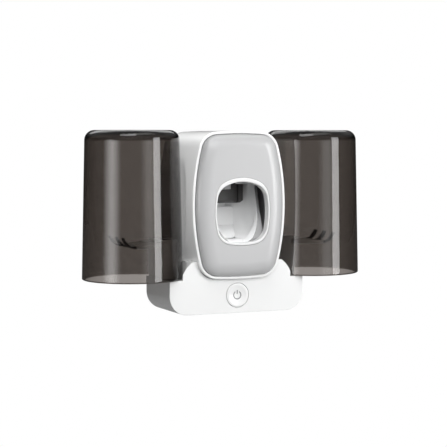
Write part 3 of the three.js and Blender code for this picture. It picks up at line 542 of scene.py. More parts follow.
def base_moulding():
    side, crown, corner_x, corner_z, side_angle, crown_angle = bow(TOWER)
    bm = bmesh.new()
    y = BASE_FRONT
    vert = tray_ring(bm, 0, BASE_TOP, y)
    vert = line(bm, vert, (NECK_HALF, y, BASE_TOP), (NECK_HALF, y, NECK_TOP))
    vert = swollen(bm, vert, (HORN_HALF, y, HORN_TOP), HORN_SWELL, 10)
    bowed = TOWER["side_bow"] + SEAT_GAP
    drop = TOWER_MIDDLE - HORN_TOP
    vert = line(bm, vert, (side + math.sqrt(bowed**2 - drop**2), y, HORN_TOP))
    middle = (side, y, TOWER_MIDDLE)
    vert = arc(bm, vert, middle, CLOCKWISE, side_angle - math.asin(drop / bowed), 6)
    middle = (corner_x, y, TOWER_MIDDLE - corner_z)
    vert = arc(bm, vert, middle, CLOCKWISE, crown_angle - side_angle, 14)
    middle = (0, y, TOWER_MIDDLE - crown)
    arc(bm, vert, middle, CLOCKWISE, math.pi / 2 - crown_angle, 8)
    prism(bm, mirrored_ring(bm), (0, BASE_BACK - BASE_FRONT, 0), BASE_SLICES)
    nested(bm, BASE_TOP - 0.01, NECK_HALF + 0.1)
    softened(bm, sharp_edges(bm, 35), BASE_SOFTNESS, 4)
    wall_inside = BASE_FRONT + BASE_WALL
    room_top = BASE_TOP - BASE_WALL
    bm = carved(bm, tray(BASE_WALL, room_top, wall_inside, BASE_BACK + 1))
    x, z = BASE_SCREW
    end = BASE_BACK - BOSS_INSET
    bosses = [rod("Y", BOSS_RADIUS, (s * x, z), end - BOSS_LENGTH, end) for s in (-1, 1)]
    bm = carved(bm, gathered(*bosses), "UNION")
    seat = BUTTON_RADIUS + SEAT_GAP
    holes = [rod("Y", seat, (0, BUTTON_HEIGHT), BASE_FRONT - 1, BASE_FRONT + 5, 128)]
    for s in (-1, 1):
        holes.append(rod("Y", SCREW_PILOT, (s * x, z), end - PILOT_DEPTH, BASE_BACK))
        holes.append(rod("Z", SCREW_PILOT, (s * TOWER_SCREW[0], TOWER_SCREW[1]), *BASE_DRILL))
        holes.append(rod("Z", LEAD_HOLE, (s * LEAD_X, CUP_Y), *BASE_DRILL))
    bm = carved(bm, gathered(*holes))
    # The faces in the tumblers' hollows get the second material, whose faint glow is painted light
    # in place of the light that would come through the tumblers.
    for face in bm.faces:
        middle = face.calc_center_median()
        away = math.hypot(abs(middle.x) - CUP_X, middle.y - CUP_Y)
        if middle.z > BASE_TOP + SEAT_GAP and abs(away - NEST_RADIUS) < NEST_REACH:
            face.material_index = 1
    return bm


white_gloss = moulded("white_gloss", WHITE, 0.22, skin=0.03, coat=0.25)
base = finished(
    base_moulding(), "base_moulding", "holder", "base_shell", white_gloss
)
# The base's second material glows faintly: painted light on the hollows beside the tumblers.
base.data.materials.append(moulded("lit_hollow", WHITE, 0.22, skin=0.03, glow=HOLLOW_GLOW))

# Tower. A glossy white tube with bowed sides that stands on the base and overhangs its front.
# It is moulded in one with four screw bosses, and its sides are hollowed for the tumblers.
TOWER_FRONT = -28.4
TOWER_BACK = 29.6
TOWER_WALL = 2
TOWER_SLICES = 40
TOWER_RIM = 0.75
TOWER_DRILL = (20, 28)
TOWER_BOSSES = [(x, z) for x in (-26.7, 26.7) for z in (40.8, 109.8)]
BOSS_ROOM = 0.4
COVER_BACK = -22.4
MOUTH = (0, -4.6)
MOUTH_RADIUS = 7
MOUTH_DRILL = (115, 135)


def bowed_ring(bm, form, middle, inset, y):
    """The closed outline of a bowed form, moved in by inset, at depth y. Its top may be bowed
    otherwise than its foot."""
    known = set(bm.edges)
    start = bm.verts.new((form["half_width"] - inset, y, 0))
    top = form | {"crown_bow": form.get("top_bow", form["crown_bow"])}
    for up, shape in ((1, top), (-1, form)):
        side, crown, corner_x, corner_z, side_angle, crown_angle = bow(shape)
        turn = (0, -up, 0)
        vert = arc(bm, start, (side, y, 0), turn, side_angle, 16)
        vert = arc(bm, vert, (corner_x, y, up * corner_z), turn, crown_angle - side_angle, 16)
        arc(bm, vert, (0, y, up * crown), turn, math.pi / 2 - crown_angle, 8)
    drawn = [e for e in bm.edges if e not in known]
    verts = list({v for e in drawn for v in e.verts})
    bmesh.ops.mirror(bm, geom=verts + drawn, merge_dist=MERGE, axis="X")
    ring = [e for e in bm.edges if e not in known]
    bmesh.ops.translate(bm, vec=(0, 0, middle), verts=list({v for e in ring for v in e.verts}))
    return ring


def bowed_prism(form, middle, inset, front, back):
    bm = bmesh.new()
    return prism(bm, bowed_ring(bm, form, middle, inset, front), (0, back - front, 0))


def walled(bm, thickness):
    """Turns a skin to the outside and gives it a wall."""
    bmesh.ops.solidify(outward(bm), geom=bm.faces[:], thickness=thickness)
    return bm


def tower_moulding():
    bm = bmesh.new()
    ring = bowed_ring(bm, TOWER, TOWER_MIDDLE, 0, TOWER_FRONT)
    drawn_out(bm, ring, [(0, (TOWER_BACK - TOWER_FRONT) / TOWER_SLICES, 0)] * TOWER_SLICES)
    nested(bm)
    walled(bm, TOWER_WALL)
    softened(bm, sharp_edges(bm, 60, lambda co: co.y < TOWER_FRONT + 0.01), TOWER_RIM, 4)
    start = TOWER_BACK - BOSS_LENGTH
    room = bowed_prism(TOWER, TOWER_MIDDLE, BOSS_ROOM, start - 3, TOWER_BACK)
    bosses = [rod("Y", BOSS_RADIUS, place, start, TOWER_BACK) for place in TOWER_BOSSES]
    bm = carved(bm, carved(gathered(*bosses), room, "INTERSECT"), "UNION")
    pilot = TOWER_BACK - PILOT_DEPTH
    holes = [rod("Y", SCREW_PILOT, place, pilot, TOWER_BACK + 1) for place in TOWER_BOSSES]
    holes.append(rod("Z", MOUTH_RADIUS, MOUTH, *MOUTH_DRILL, 96))
    for s in (-1, 1):
        holes.append(rod("Z", SCREW_PILOT, (s * TOWER_SCREW[0], TOWER_SCREW[1]), *TOWER_DRILL))
    bm = carved(bm, gathered(*holes))
    # The faces inside the tower behind the cover get the second material, a dark grey that is
    # painted shade in the space beside the scoop.
    axis = Vector((0, 0, TOWER_MIDDLE))
    for face in bm.faces:
        middle = face.calc_center_median()
        if middle.y > COVER_BACK and (middle - axis).dot(face.normal) < -1:
            face.material_index = 1
    return bm


tower = finished(
    tower_moulding(), "tower_moulding", "holder", "tower_shell", white_gloss
)
# The tower's second material is painted shade: a dark grey on its inside faces.
tower.data.materials.append(moulded("painted_shade_inside", (0.3, 0.3, 0.303), 0.6))
side_lamp.light_linking.blocker_collection = lit_only(side_lamp, tower)

# Front cover. A pale grey domed skin that plugs into the tower's mouth and pulls straight off.
# It is a satin moulding with a rounded band along its edge and the window cut through it.
GREY = (0.488, 0.490, 0.495)
COVER_INSET = 2.3
COVER_DOME = 5.4
COVER_ROUNDING = 10
COVER_WALL = 1.8
COVER_FACE = TOWER_FRONT - COVER_DOME
WINDOW = {
    "half_width": 20.9,
    "half_height": 23.5,
    "side_bow": 60,
    "crown_bow": 55,
    "top_bow": 30,
    "corner": 12,
}
WINDOW_MIDDLE = 71.1
BEZEL_LINE = 0.12


def quarter(steps):
    """The sine and cosine of each step of a quarter turn."""
    turns = [math.pi / 2 * i / steps for i in range(steps + 1)]
    return [(math.sin(turn), math.cos(turn)) for turn in turns]


def lofted(bm, rings):
    """Bridges each ring of edges to the next."""
    for ring, after in zip(rings, rings[1:]):
        bmesh.ops.bridge_loops(bm, edges=ring + after)


def front_skin():
    bm = bmesh.new()
    rings = [bowed_ring(bm, TOWER, TOWER_MIDDLE, COVER_INSET, COVER_BACK)]
    for sine, cosine in quarter(16):
        inset = COVER_INSET + COVER_ROUNDING * (1 - cosine)
        rings.append(bowed_ring(bm, TOWER, TOWER_MIDDLE, inset, TOWER_FRONT - COVER_DOME * sine))
    rings.append(bowed_ring(bm, WINDOW, WINDOW_MIDDLE, -BEZEL_LINE, COVER_FACE))
    lofted(bm, rings)
    return walled(bm, COVER_WALL)


grey_panel = moulded("grey_panel", GREY, 0.26, skin=0.02, coat=0.2)
skin = finished(front_skin(), "front_skin", "cover", "front_cover", grey_panel)
lit_only(right_lamp, skin)

# Window bezel. A glossy white moulded ring with a round front edge, pushed into the front
# cover's window and carried off with it.
BEZEL_FRONT = -34.1
BEZEL_BACK = -28.3
BEZEL_ROUNDING = 0.7
BEZEL_TAPER = 0.1
OPENING = {
    "half_width": 19.4,
    "half_height": 21.0,
    "side_bow": 58,
    "crown_bow": 53,
    "top_bow": 29,
    "corner": 11,
}
OPENING_MIDDLE = 70.6


def bezel_ring():
    bm = bmesh.new()
    outer, inner = [], []
    for sine, cosine in quarter(8):
        inset = BEZEL_ROUNDING * (1 - cosine)
        y = BEZEL_FRONT + BEZEL_ROUNDING * (1 - sine)
        outer.append(bowed_ring(bm, WINDOW, WINDOW_MIDDLE, inset, y))
        inner.append(bowed_ring(bm, OPENING, OPENING_MIDDLE, -inset, y))
    outer_back = bowed_ring(bm, WINDOW, WINDOW_MIDDLE, 0, BEZEL_BACK)
    inner_back = bowed_ring(bm, OPENING, OPENING_MIDDLE, -BEZEL_TAPER, BEZEL_BACK)
    lofted(bm, [outer_back, *outer, *reversed(inner), inner_back, outer_back])
    return outward(bm)


bright_gloss = moulded("bright_gloss", (0.84, 0.843, 0.842), 0.22, skin=0.03, coat=0.25)
finished(bezel_ring(), "bezel_ring", "cover", "window_bezel", bright_gloss)

# Brush chamber. A pale scoop with a round back and a dished floor, fixed behind the window, that
# the brush head is put into. A flange frames its mouth, and two lugs behind hold the paddle.
PALE = (0.75, 0.753, 0.755)
# The dark grey of the painted shadow on the scoop's flange.
FLANGE_PAINTED_SHADE = (0.22, 0.22, 0.223)
PIPE_AXIS = -11
PIPE_RADIUS = 17.5
PIPE_WALL = 1.8
PIPE_FOOT = 26.9
PIPE_FOOT_FRONT = -21.9
PIPE_TOP = 100
SCOOP_FLOOR = 48.8
SCOOP_UNDER = 46.8
SCOOP_CORNER = 8
SCOOP_SLICES = 14
SCOOP_FRONT = -27.5
SCOOP_RISE = [(-26, 47.5), (-26, 48.9), (-4, 50.3), (-2.2, 49), (-2.2, 47.5)]
RISE_HALF = 14
SCOOP_LEAN = [(-27.5, 52), (-19.8, 70.8), (-15.2, 86), (-15.2, 101)]
LEAN_FRONT = -40
LEAN_HALF = 30
SCOOP_FLARE = (14.5, 26.2)
FLARE_BACK = -18
FLARE_ROOM = 0.9
FLUSH = 0.02
PADDLE_HALF = 9.3
PADDLE_TOP = 73
PADDLE_FOLD = 59.3
PADDLE_GAP = 0.15
PADDLE_CORNER = 3
PLATE_HOLE = (2.9, 12)
LIP_HOLE = (-2.1, 8)
PIN = (5.9, 71)
PIN_BORE = 1.3
LUG_INNER = 9.8
LUG_OUTER = 12.8
LUG_HALF = 2.4
RIB_INNER = 6.6
RIB = (-8.2, -6.1, 89.3, 91.8)


def flared(bm):
    """Widens the round between the scoop's wall and floor towards the mouth."""
    bend, top = PIPE_RADIUS - SCOOP_CORNER, SCOOP_FLOOR + SCOOP_CORNER
    wide, tall = SCOOP_FLARE
    for vert in bm.verts:
        x, y, z = vert.co
        if y > PIPE_AXIS or z < SCOOP_FLOOR - 0.01 or z > top + 0.01 or abs(x) < bend - 0.01:
            continue
        share = min(1, (y - PIPE_AXIS) / (FLARE_BACK - PIPE_AXIS))
        share = share * share * (3 - 2 * share)
        angle = math.atan2(abs(x) - bend, top - z)
        flared_x = PIPE_RADIUS - wide + wide * math.sin(angle)
        flared_z = SCOOP_FLOOR + tall - tall * math.cos(angle)
        vert.co.x = math.copysign(abs(x) + (flared_x - abs(x)) * share, x)
        vert.co.z = z + (flared_z - z) * share


def walled_pipe(profile, front):
    """Spins a profile of radius and height half round the pipe's axis, draws both its ends out
    to the front, and gives it a wall on its outside."""
    bm = bmesh.new()
    start = bm.verts.new((profile[0][0], PIPE_AXIS, profile[0][1]))
    line(bm, start, *((radius, PIPE_AXIS, z) for radius, z in profile[1:]))
    bmesh.ops.spin(
        bm,
        geom=bm.verts[:] + bm.edges[:],
        cent=(0, PIPE_AXIS, 0),
        axis=(0, 0, 1),
        angle=math.pi,
        steps=64,
    )
    bmesh.ops.remove_doubles(bm, verts=bm.verts, dist=MERGE)
    ends = [
        e
        for e in bm.edges
        if e.is_boundary and all(abs(v.co.y - PIPE_AXIS) < 1e-3 for v in e.verts)
    ]
    drawn_out(bm, ends, [(0, (front - PIPE_AXIS) / SCOOP_SLICES, 0)] * SCOOP_SLICES)
    bmesh.ops.remove_doubles(bm, verts=bm.verts, dist=MERGE)
    flared(bm)
    outside = max(outward(bm).faces, key=lambda f: f.calc_center_median().y)
    thickness = -PIPE_WALL if outside.normal.y > 0 else PIPE_WALL
    bmesh.ops.solidify(bm, geom=bm.faces[:], thickness=thickness)
    return outward(bm)


def mouth_depth(z):
    """The depth of the scoop's mouth at a height: upright at the foot, then leaning back."""
    y = SCOOP_LEAN[0][0]
    for (y0, z0), (y1, z1) in zip(SCOOP_LEAN, SCOOP_LEAN[1:]):
        if z > z0:
            y = y0 + (y1 - y0) * min(1, (z - z0) / (z1 - z0))
    return y


def side_prism(points, half):
    """A prism across the holder, of a closed outline in Y and Z."""
    bm = bmesh.new()
    first = bm.verts.new((-half, *points[0]))
    last = line(bm, first, *((-half, y, z) for y, z in points[1:]))
    bm.edges.new((last, first))
    return prism(bm, bm.edges[:], (2 * half, 0, 0))


def side_block(side, inner, outer, *places):
    """A block on one side, between two distances from the middle."""
    return block(*sorted((side * inner, side * outer)), *places)


def chamber_scoop():
    bend = PIPE_RADIUS - SCOOP_CORNER
    profile = [(0, SCOOP_FLOOR)]
    for sine, cosine in quarter(12):
        profile.append((bend + SCOOP_CORNER * sine, SCOOP_FLOOR + SCOOP_CORNER * (1 - cosine)))
    profile.append((PIPE_RADIUS, PIPE_TOP))
    bm = walled_pipe(profile, SCOOP_FRONT)
    skirt = walled_pipe([(PIPE_RADIUS, PIPE_FOOT), (PIPE_RADIUS, SCOOP_FLOOR + 4)], PIPE_FOOT_FRONT)
    bm = carved(bm, skirt, "UNION")
    outer = PIPE_RADIUS + PIPE_WALL + FLUSH
    front, under = SCOOP_FRONT - FLUSH, SCOOP_UNDER - FLUSH
    wide, tall = SCOOP_FLARE
    for s in (-1, 1):
        x, z = PIPE_RADIUS - wide, SCOOP_FLOOR + tall
        corner = side_block(s, x, outer, front, FLARE_BACK, under, z)
        mouth = rod("Y", 1, (0, 0), LEAN_FRONT, 0, 128)
        bmesh.ops.scale(mouth, vec=(wide + FLARE_ROOM, 1, tall + FLARE_ROOM), verts=mouth.verts)
        bmesh.ops.translate(mouth, vec=(s * x, 0, z), verts=mouth.verts)
        bm = carved(bm, carved(corner, mouth), "UNION")
    wedge = [(LEAN_FRONT, SCOOP_LEAN[0][1]), *SCOOP_LEAN, (LEAN_FRONT, SCOOP_LEAN[-1][1])]
    bm = carved(bm, side_prism(wedge, LEAN_HALF))
    bm = carved(bm, side_prism(SCOOP_RISE, RISE_HALF), "UNION")
    rim = sharp_edges(
        bm, 60, lambda co: co.y < mouth_depth(co.z) + 0.05 and co.z > SCOOP_UNDER + 0.1
    )
    softened(bm, rim, 0.35, 3)
    # The faces that look forward at the mouth get the second material, a dark grey that is painted
    # shadow, cast by the cover on the flange.
    for face in bm.faces:
        middle = face.calc_center_median()
        if face.normal.y < -0.7 and middle.y < mouth_depth(middle.z) + 0.02:
            face.material_index = 1
    y, z = PIN
    lug = (y - LUG_HALF, y + LUG_HALF, z - LUG_HALF, z + LUG_HALF)
    parts = []
    for s in (-1, 1):
        parts.append(side_block(s, LUG_INNER, LUG_OUTER, *lug, 0.5))
        parts.append(side_block(s, RIB_INNER, PIPE_RADIUS + 0.2, *RIB, 0.4))
    bm = carved(bm, gathered(*parts), "UNION")
    reach = PADDLE_HALF + PADDLE_GAP
    foot = SCOOP_FLOOR + SEAT_GAP
    hole = block(-reach, reach, *PLATE_HOLE, foot, PADDLE_TOP + PADDLE_GAP)
    corners = [
        e
        for e in hole.edges
        if all(v.co.z > PADDLE_TOP and v.co.x == e.verts[0].co.x for v in e.verts)
    ]
    bm = carved(bm, softened(hole, corners, PADDLE_CORNER, 6))
    bm = carved(bm, block(-reach, reach, *LIP_HOLE, foot, PADDLE_FOLD))
    return carved(bm, rod("X", PIN_BORE, PIN, -LUG_OUTER - 1, LUG_OUTER + 1))


inner_white = moulded("inner_white", PALE, 0.42, skin=0.06)
scoop = finished(
    chamber_scoop(), "chamber_scoop", "holder", "brush_chamber", inner_white
)
# The scoop's second material is painted shadow: a dark grey on the flange round its mouth.
scoop.data.materials.append(moulded("flange_painted_shade", FLANGE_PAINTED_SHADE, 0.4, skin=0.06))

# Push paddle. A pale plate with a lip at its foot, hung on a pin, that the brush head pushes
# back. Its arm above the pin then pushes the pump's slider forward.
PADDLE_FOOT = 50.4
PADDLE_BACK = 6.0
PADDLE_SECTION = [
    (3.2, PADDLE_TOP),
    (3.2, 59.6),
    (4.2, PADDLE_FOLD),
    (3.5, 58.7),
    (-1.0, PADDLE_FOOT),
    (1.2, PADDLE_FOOT),
    (PADDLE_BACK, 59.3),
    (PADDLE_BACK, PADDLE_TOP),
]
PADDLE_BOSS = 6.2
BOSS_ROUND = 2.1
PADDLE_ARM = 3
ARM_FRONT = 3.8
PADDLE_ARM_TOP = 81.4


def paddle_plate():
    bm = side_prism(PADDLE_SECTION, PADDLE_HALF)
    corners = [
        e
        for e in bm.edges
        if abs(e.verts[0].co.x - e.verts[1].co.x) < MERGE
        and abs(e.verts[0].co.z - e.verts[1].co.z) < MERGE
        and not PADDLE_FOOT + 0.1 < e.verts[0].co.z < PADDLE_TOP - 0.1
    ]
    softened(bm, corners, PADDLE_CORNER, 6)
    softened(bm, sharp_edges(bm, 50), 0.6, 4)
    boss = rod("X", BOSS_ROUND, PIN, -PADDLE_BOSS, PADDLE_BOSS)
    softened(boss, sharp_edges(boss), 0.4, 2)
    arm = block(-PADDLE_ARM, PADDLE_ARM, ARM_FRONT, PADDLE_BACK, PIN[1], PADDLE_ARM_TOP, 0.5)
    bm = carved(carved(bm, boss, "UNION"), arm, "UNION")
    return carved(bm, rod("X", PIN_BORE, PIN, -12, 12))


paddle_white = moulded("paddle_white", (0.78, 0.783, 0.785), 0.36, skin=0.05)
plate = finished(
    paddle_plate(), "paddle_plate", "paddle", "push_paddle", paddle_white
)
lit_only(window_lamp, scoop, plate)

# Paddle pin and return spring. The pin is a ground steel rod across the two lugs. The spring
# is one steel wire in six open turns, between the paddle and a post on the rear cover.
STEEL = (0.52, 0.525, 0.53)


def steel_paint():
    """Bright steel with fine grinding marks and small differences of gloss."""
    material, place = paint("bright_steel")
    cloud = noise(place, 220.0, 4.0)
    marks = noise(place, 2600.0, 2.0)
    dark = [c * 0.86 for c in STEEL]
    pale = [c * 1.1 for c in STEEL]
    sockets = {
        "Base Color": toned(cloud, dark, pale),
        "Metallic": 1.0,
        "Roughness": 0.28 + (cloud - 0.5) * 0.2,
        "Normal": raised(marks, 0.12, 0.00005),
    }
    return coated(material, place, sockets)


steel = steel_paint()
pin_rod = rod("X", 1, PIN, -LUG_OUTER, LUG_OUTER, 32)
softened(pin_rod, sharp_edges(pin_rod), 0.25, 2)
finished(pin_rod, "ground_pin", "holder", "paddle_pin", steel)

SPRING_WIRE = 0.4
SPRING_RADIUS = 2.6
SPRING_TURNS = 6
SPRING_FRONT = 6.3
SPRING_BACK = 15.3
SPRING_HEIGHT = 63
TURN_STEPS = 36


def wound_spring():
    bm = bmesh.new()
    circle = bmesh.ops.create_circle(bm, segments=12, radius=SPRING_WIRE, cap_ends=True)
    start = (SPRING_RADIUS, SPRING_FRONT + SPRING_WIRE, SPRING_HEIGHT)
    bmesh.ops.translate(bm, vec=start, verts=circle["verts"])
    rise = (SPRING_BACK - SPRING_FRONT - 2 * SPRING_WIRE) / (SPRING_TURNS * TURN_STEPS)
    bmesh.ops.spin(
        bm,
        geom=bm.verts[:] + bm.edges[:] + bm.faces[:],
        cent=(0, 0, SPRING_HEIGHT),
        axis=(0, 1, 0),
        dvec=(0, rise, 0),
        angle=2 * math.pi * SPRING_TURNS,
        steps=SPRING_TURNS * TURN_STEPS,
    )
    return outward(bm)


spring = finished(wound_spring(), "wound_spring", "holder", "paddle_spring", steel)
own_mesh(spring)

# Pump block. A dark satin block fixed in the upper half of the scoop, with a notch in its face
# for the nozzle, a groove on either side and a cave under it for the slider.
PUMP_HALF = 12.7
PUMP_FRONT = -6
PUMP_BACK = 6.5
PUMP_BOTTOM = 75.8
PUMP_TOP = 108
PUMP_DRILL = (70, 115)
PUMP_GROOVE = (6.0, 9.3)
PUMP_GROOVE_DEPTH = 2.2
PUMP_CHAMFER = 1.8
CAVE_HALF = 3.8
CAVE_FRONT = PUMP_FRONT + 2
CAVE_TOP = 97.4
NOTCH_HALF = 3.3
NOTCH_FOOT = 85.3
HOSE_Y = -4.6
DARK = (0.052, 0.0502, 0.0493)


def pump_body():
    bm = block(-PUMP_HALF, PUMP_HALF, PUMP_FRONT, PUMP_BACK, PUMP_BOTTOM, PUMP_TOP)
    corners = [
        e
        for e in bm.edges
        if all(abs(abs(v.co.x) - PUMP_HALF) < 1e-3 and v.co.z < PUMP_BOTTOM + 1 for v in e.verts)
    ]
    softened(bm, corners, PUMP_CHAMFER, 1)
    room = rod("Z", PIPE_RADIUS - SEAT_GAP, (0, PIPE_AXIS), *PUMP_DRILL, 128)
    bm = carved(bm, room, "INTERSECT")
    groove = (PUMP_FRONT - 1, PUMP_FRONT + PUMP_GROOVE_DEPTH, *PUMP_DRILL)
    bm = carved(bm, gathered(*(side_block(s, *PUMP_GROOVE, *groove) for s in (-1, 1))))
    softened(bm, sharp_edges(bm, 40), 0.4, 3)
    cave = block(-CAVE_HALF, CAVE_HALF, CAVE_FRONT, PUMP_BACK + 1.5, PUMP_DRILL[0], CAVE_TOP)
    notch = block(
        -NOTCH_HALF, NOTCH_HALF, PUMP_FRONT - 1, HOSE_Y + NOTCH_HALF, NOTCH_FOOT, PUMP_TOP + 2
    )
    return carved(carved(bm, cave), notch)


dark_plastic = moulded("dark_plastic", DARK, 0.4, uneven=0.08, skin=0.1)
finished(pump_body(), "pump_body", "holder", "pump_block", dark_plastic)

# Nozzle, hose, slider and tube socket. The pale nozzle holds a soft silicone hose upright,
# the slider nips the hose, and the silicone socket on top grips the neck of a tube of paste.
NOZZLE_HALF = 3
NOZZLE_DRILL = (80, 115)
NOZZLE_SLIT = 1.95
SLIT_FOOT = 91.4
HOSE_FOOT = 85.6
HOSE_SEAT = 2.2


def full_turn(bm, place, steps):
    """Spins a half section once round an upright axis, and stands the shape at a place."""
    bmesh.ops.spin(
        bm,
        geom=bm.verts[:] + bm.edges[:],
        cent=(0, 0, 0),
        axis=(0, 0, 1),
        angle=2 * math.pi,
        steps=steps,
        use_merge=True,
    )
    bmesh.ops.remove_doubles(bm, verts=bm.verts, dist=MERGE)
    bmesh.ops.translate(outward(bm), vec=place, verts=bm.verts)
    return bm


def turned(points, place, steps):
    """A shape turned from a section of radius and height, round an upright axis at a place."""
    bm = bmesh.new()
    start = bm.verts.new((points[0][0], 0, points[0][1]))
    line(bm, start, *((radius, 0, height) for radius, height in points[1:]))
    return full_turn(bm, place, steps)


def nozzle_mouth():
    front, back = HOSE_Y - NOZZLE_HALF, HOSE_Y + NOZZLE_HALF
    bm = block(-NOZZLE_HALF, NOZZLE_HALF, front, back, HOSE_FOOT, PUMP_TOP)
    upright = [e for e in bm.edges if abs(e.verts[0].co.z - e.verts[1].co.z) > 10]
    softened(bm, [e for e in upright if e.verts[0].co.y < front + 0.5], 1.4, 6)
    softened(bm, sharp_edges(bm, 50), 0.35, 3)
    bm = carved(bm, rod("Z", HOSE_SEAT, (0, HOSE_Y), *NOZZLE_DRILL, 64))
    return carved(bm, block(-NOZZLE_SLIT, NOZZLE_SLIT, HOSE_Y, 0, SLIT_FOOT, CAVE_TOP))


finished(nozzle_mouth(), "nozzle_mouth", "holder", "paste_nozzle", paddle_white)

HOSE_HEAD = 113.3
HOSE_RADIUS = 2.05
HOSE_BORE = 1.25
hose_section = [
    (HOSE_BORE, HOSE_FOOT),
    (HOSE_RADIUS - 0.2, HOSE_FOOT),
    (HOSE_RADIUS, HOSE_FOOT + 0.2),
    (HOSE_RADIUS, HOSE_HEAD - 0.2),
    (HOSE_RADIUS - 0.2, HOSE_HEAD),
    (HOSE_BORE, HOSE_HEAD),
    (HOSE_BORE, HOSE_FOOT),
]
silicone = moulded("silicone", (0.58, 0.60, 0.62), 0.5, uneven=0.05, skin=0.08)
hose_tube = turned(hose_section, (0, HOSE_Y, 0), 48)
hose = finished(hose_tube, "hose_tube", "holder", "pump_hose", silicone)
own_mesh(hose)

SLIDER_HALF = 3.3
SLIDER_FRONT = 2.1
SLIDER_TOP = 96.9
NOSE_HALF = 1.65


def slider_body():
    tail = block(-SLIDER_HALF, SLIDER_HALF, SLIDER_FRONT, 3.5, 78.9, 83.5, 0.3)
    riser = block(-SLIDER_HALF, SLIDER_HALF, SLIDER_FRONT, 4.1, 81.9, SLIDER_TOP, 0.4)
    nose = block(-NOSE_HALF, NOSE_HALF, -2.05, 3, SLIDER_TOP - 5, SLIDER_TOP, 0.4)
    return carved(carved(riser, tail, "UNION"), nose, "UNION")


finished(slider_body(), "slider_body", "slider", "squeeze_slider", inner_white)

SOCKET_RADIUS = 9.5
SOCKET_BORE = 6.5
SOCKET_FOOT = 108.3
SOCKET_HEAD = 124.3
socket_section = [
    (HOSE_SEAT, SOCKET_FOOT),
    (SOCKET_RADIUS - 0.5, SOCKET_FOOT),
    (SOCKET_RADIUS, SOCKET_FOOT + 0.5),
    (SOCKET_RADIUS, SOCKET_HEAD - 0.5),
    (SOCKET_RADIUS - 0.5, SOCKET_HEAD),
    (SOCKET_BORE + 0.5, SOCKET_HEAD),
    (SOCKET_BORE, SOCKET_HEAD - 0.5),
    (SOCKET_BORE, 119),
    (SOCKET_BORE - 0.5, 118.5),
    (SOCKET_BORE, 118),
    (SOCKET_BORE, 116.6),
    (HOSE_SEAT, 112.3),
    (HOSE_SEAT, SOCKET_FOOT),
]
socket_cup = turned(socket_section, (0, HOSE_Y, 0), 96)
finished(socket_cup, "socket_cup", "holder", "tube_socket", silicone)

# Power button. A white cap with a dished face in a round hole in the base, with the standby
# sign printed in grey in the dish. A flange behind the wall keeps it from falling out.
BUTTON_BACK = 21.5
BUTTON_FRONT = 25.2
BUTTON_ROUNDING = 0.5
BUTTON_DISH = 0.8
FLANGE_FRONT = 22.5
FLANGE_RADIUS = 9.2
DISH_RADIUS = 6.7
BOWL = (DISH_RADIUS**2 + BUTTON_DISH**2) / (2 * BUTTON_DISH)


def dish_depth(radius):
    """How far the dish's face stands forward at a radius from its middle."""
    return BUTTON_FRONT - BUTTON_DISH + BOWL - math.sqrt(BOWL**2 - radius**2)


def stood(bm, place, quarter_turn):
    """Tips an upright shape over by a quarter turn, and moves it to a place."""
    tip = Matrix.Rotation(quarter_turn * math.pi / 2, 4, "X")
    bmesh.ops.transform(bm, matrix=Matrix.Translation(place) @ tip, verts=bm.verts)
    return bm


def button_cap():
    section = [
        (0, BUTTON_BACK),
        (FLANGE_RADIUS, BUTTON_BACK),
        (FLANGE_RADIUS, FLANGE_FRONT),
        (BUTTON_RADIUS, FLANGE_FRONT),
    ]
    for sine, cosine in quarter(6):
        radius = BUTTON_RADIUS - BUTTON_ROUNDING * (1 - cosine)
        section.append((radius, BUTTON_FRONT - BUTTON_ROUNDING * (1 - sine)))
    for i in range(17):
        radius = DISH_RADIUS * (1 - i / 16)
        section.append((radius, dish_depth(radius)))
    return stood(turned(section, (0, 0, 0), 128), (0, 0, BUTTON_HEIGHT), 1)


finished(button_cap(), "button_cap", "button", "power_button", white_gloss)

SIGN_INNER = 2.35
SIGN_OUTER = 3.1
SIGN_GAP = math.radians(32)
SIGN_BAR = (0.38, 1.35)
SIGN_BAR_HEIGHT = 2.15
INK_LIFT = 0.04
INK_DEPTH = 0.06


def standby_sign():
    bm = bmesh.new()
    start = math.pi / 2 + SIGN_GAP
    ends = [(r * math.cos(start), 0, r * math.sin(start)) for r in (SIGN_INNER, SIGN_OUTER)]
    line(bm, bm.verts.new(ends[0]), ends[1])
    bmesh.ops.spin(
        bm,
        geom=bm.verts[:] + bm.edges[:],
        cent=(0, 0, 0),
        axis=ANTICLOCKWISE,
        angle=2 * (math.pi - SIGN_GAP),
        steps=64,
    )
    bar = bmesh.new()
    bmesh.ops.create_grid(bar, x_segments=2, y_segments=8, size=1)
    bmesh.ops.scale(bar, vec=(*SIGN_BAR, 1), verts=bar.verts)
    bm = gathered(bm, stood(bar, (0, 0, SIGN_BAR_HEIGHT), 1))
    for vert in bm.verts:
        vert.co.y = -dish_depth(math.hypot(vert.co.x, vert.co.z)) - INK_LIFT
    walled(bm, INK_DEPTH)
    bmesh.ops.translate(bm, vec=(0, 0, BUTTON_HEIGHT), verts=bm.verts)
    return bm


sign_ink = moulded("sign_ink", (0.24, 0.24, 0.245), 0.5, uneven=0.06)
finished(standby_sign(), "standby_sign", "button", None, sign_ink)

# Screws. Pan-headed steel screws with a cross recess. Two hold the base cover to the base's
# bosses, and four hold the rear cover to the tower's.
SIDES = ((-1, "left"), (1, "right"))
SCREW_HEAD = 2.7
SCREW_RIM = 0.6
SCREW_SHANK = 1.3
CROSS = (-1.5, 1.5)
CROSS_ARM = (-0.28, 0.28)
CROSS_DEPTH = (0.7, 3)


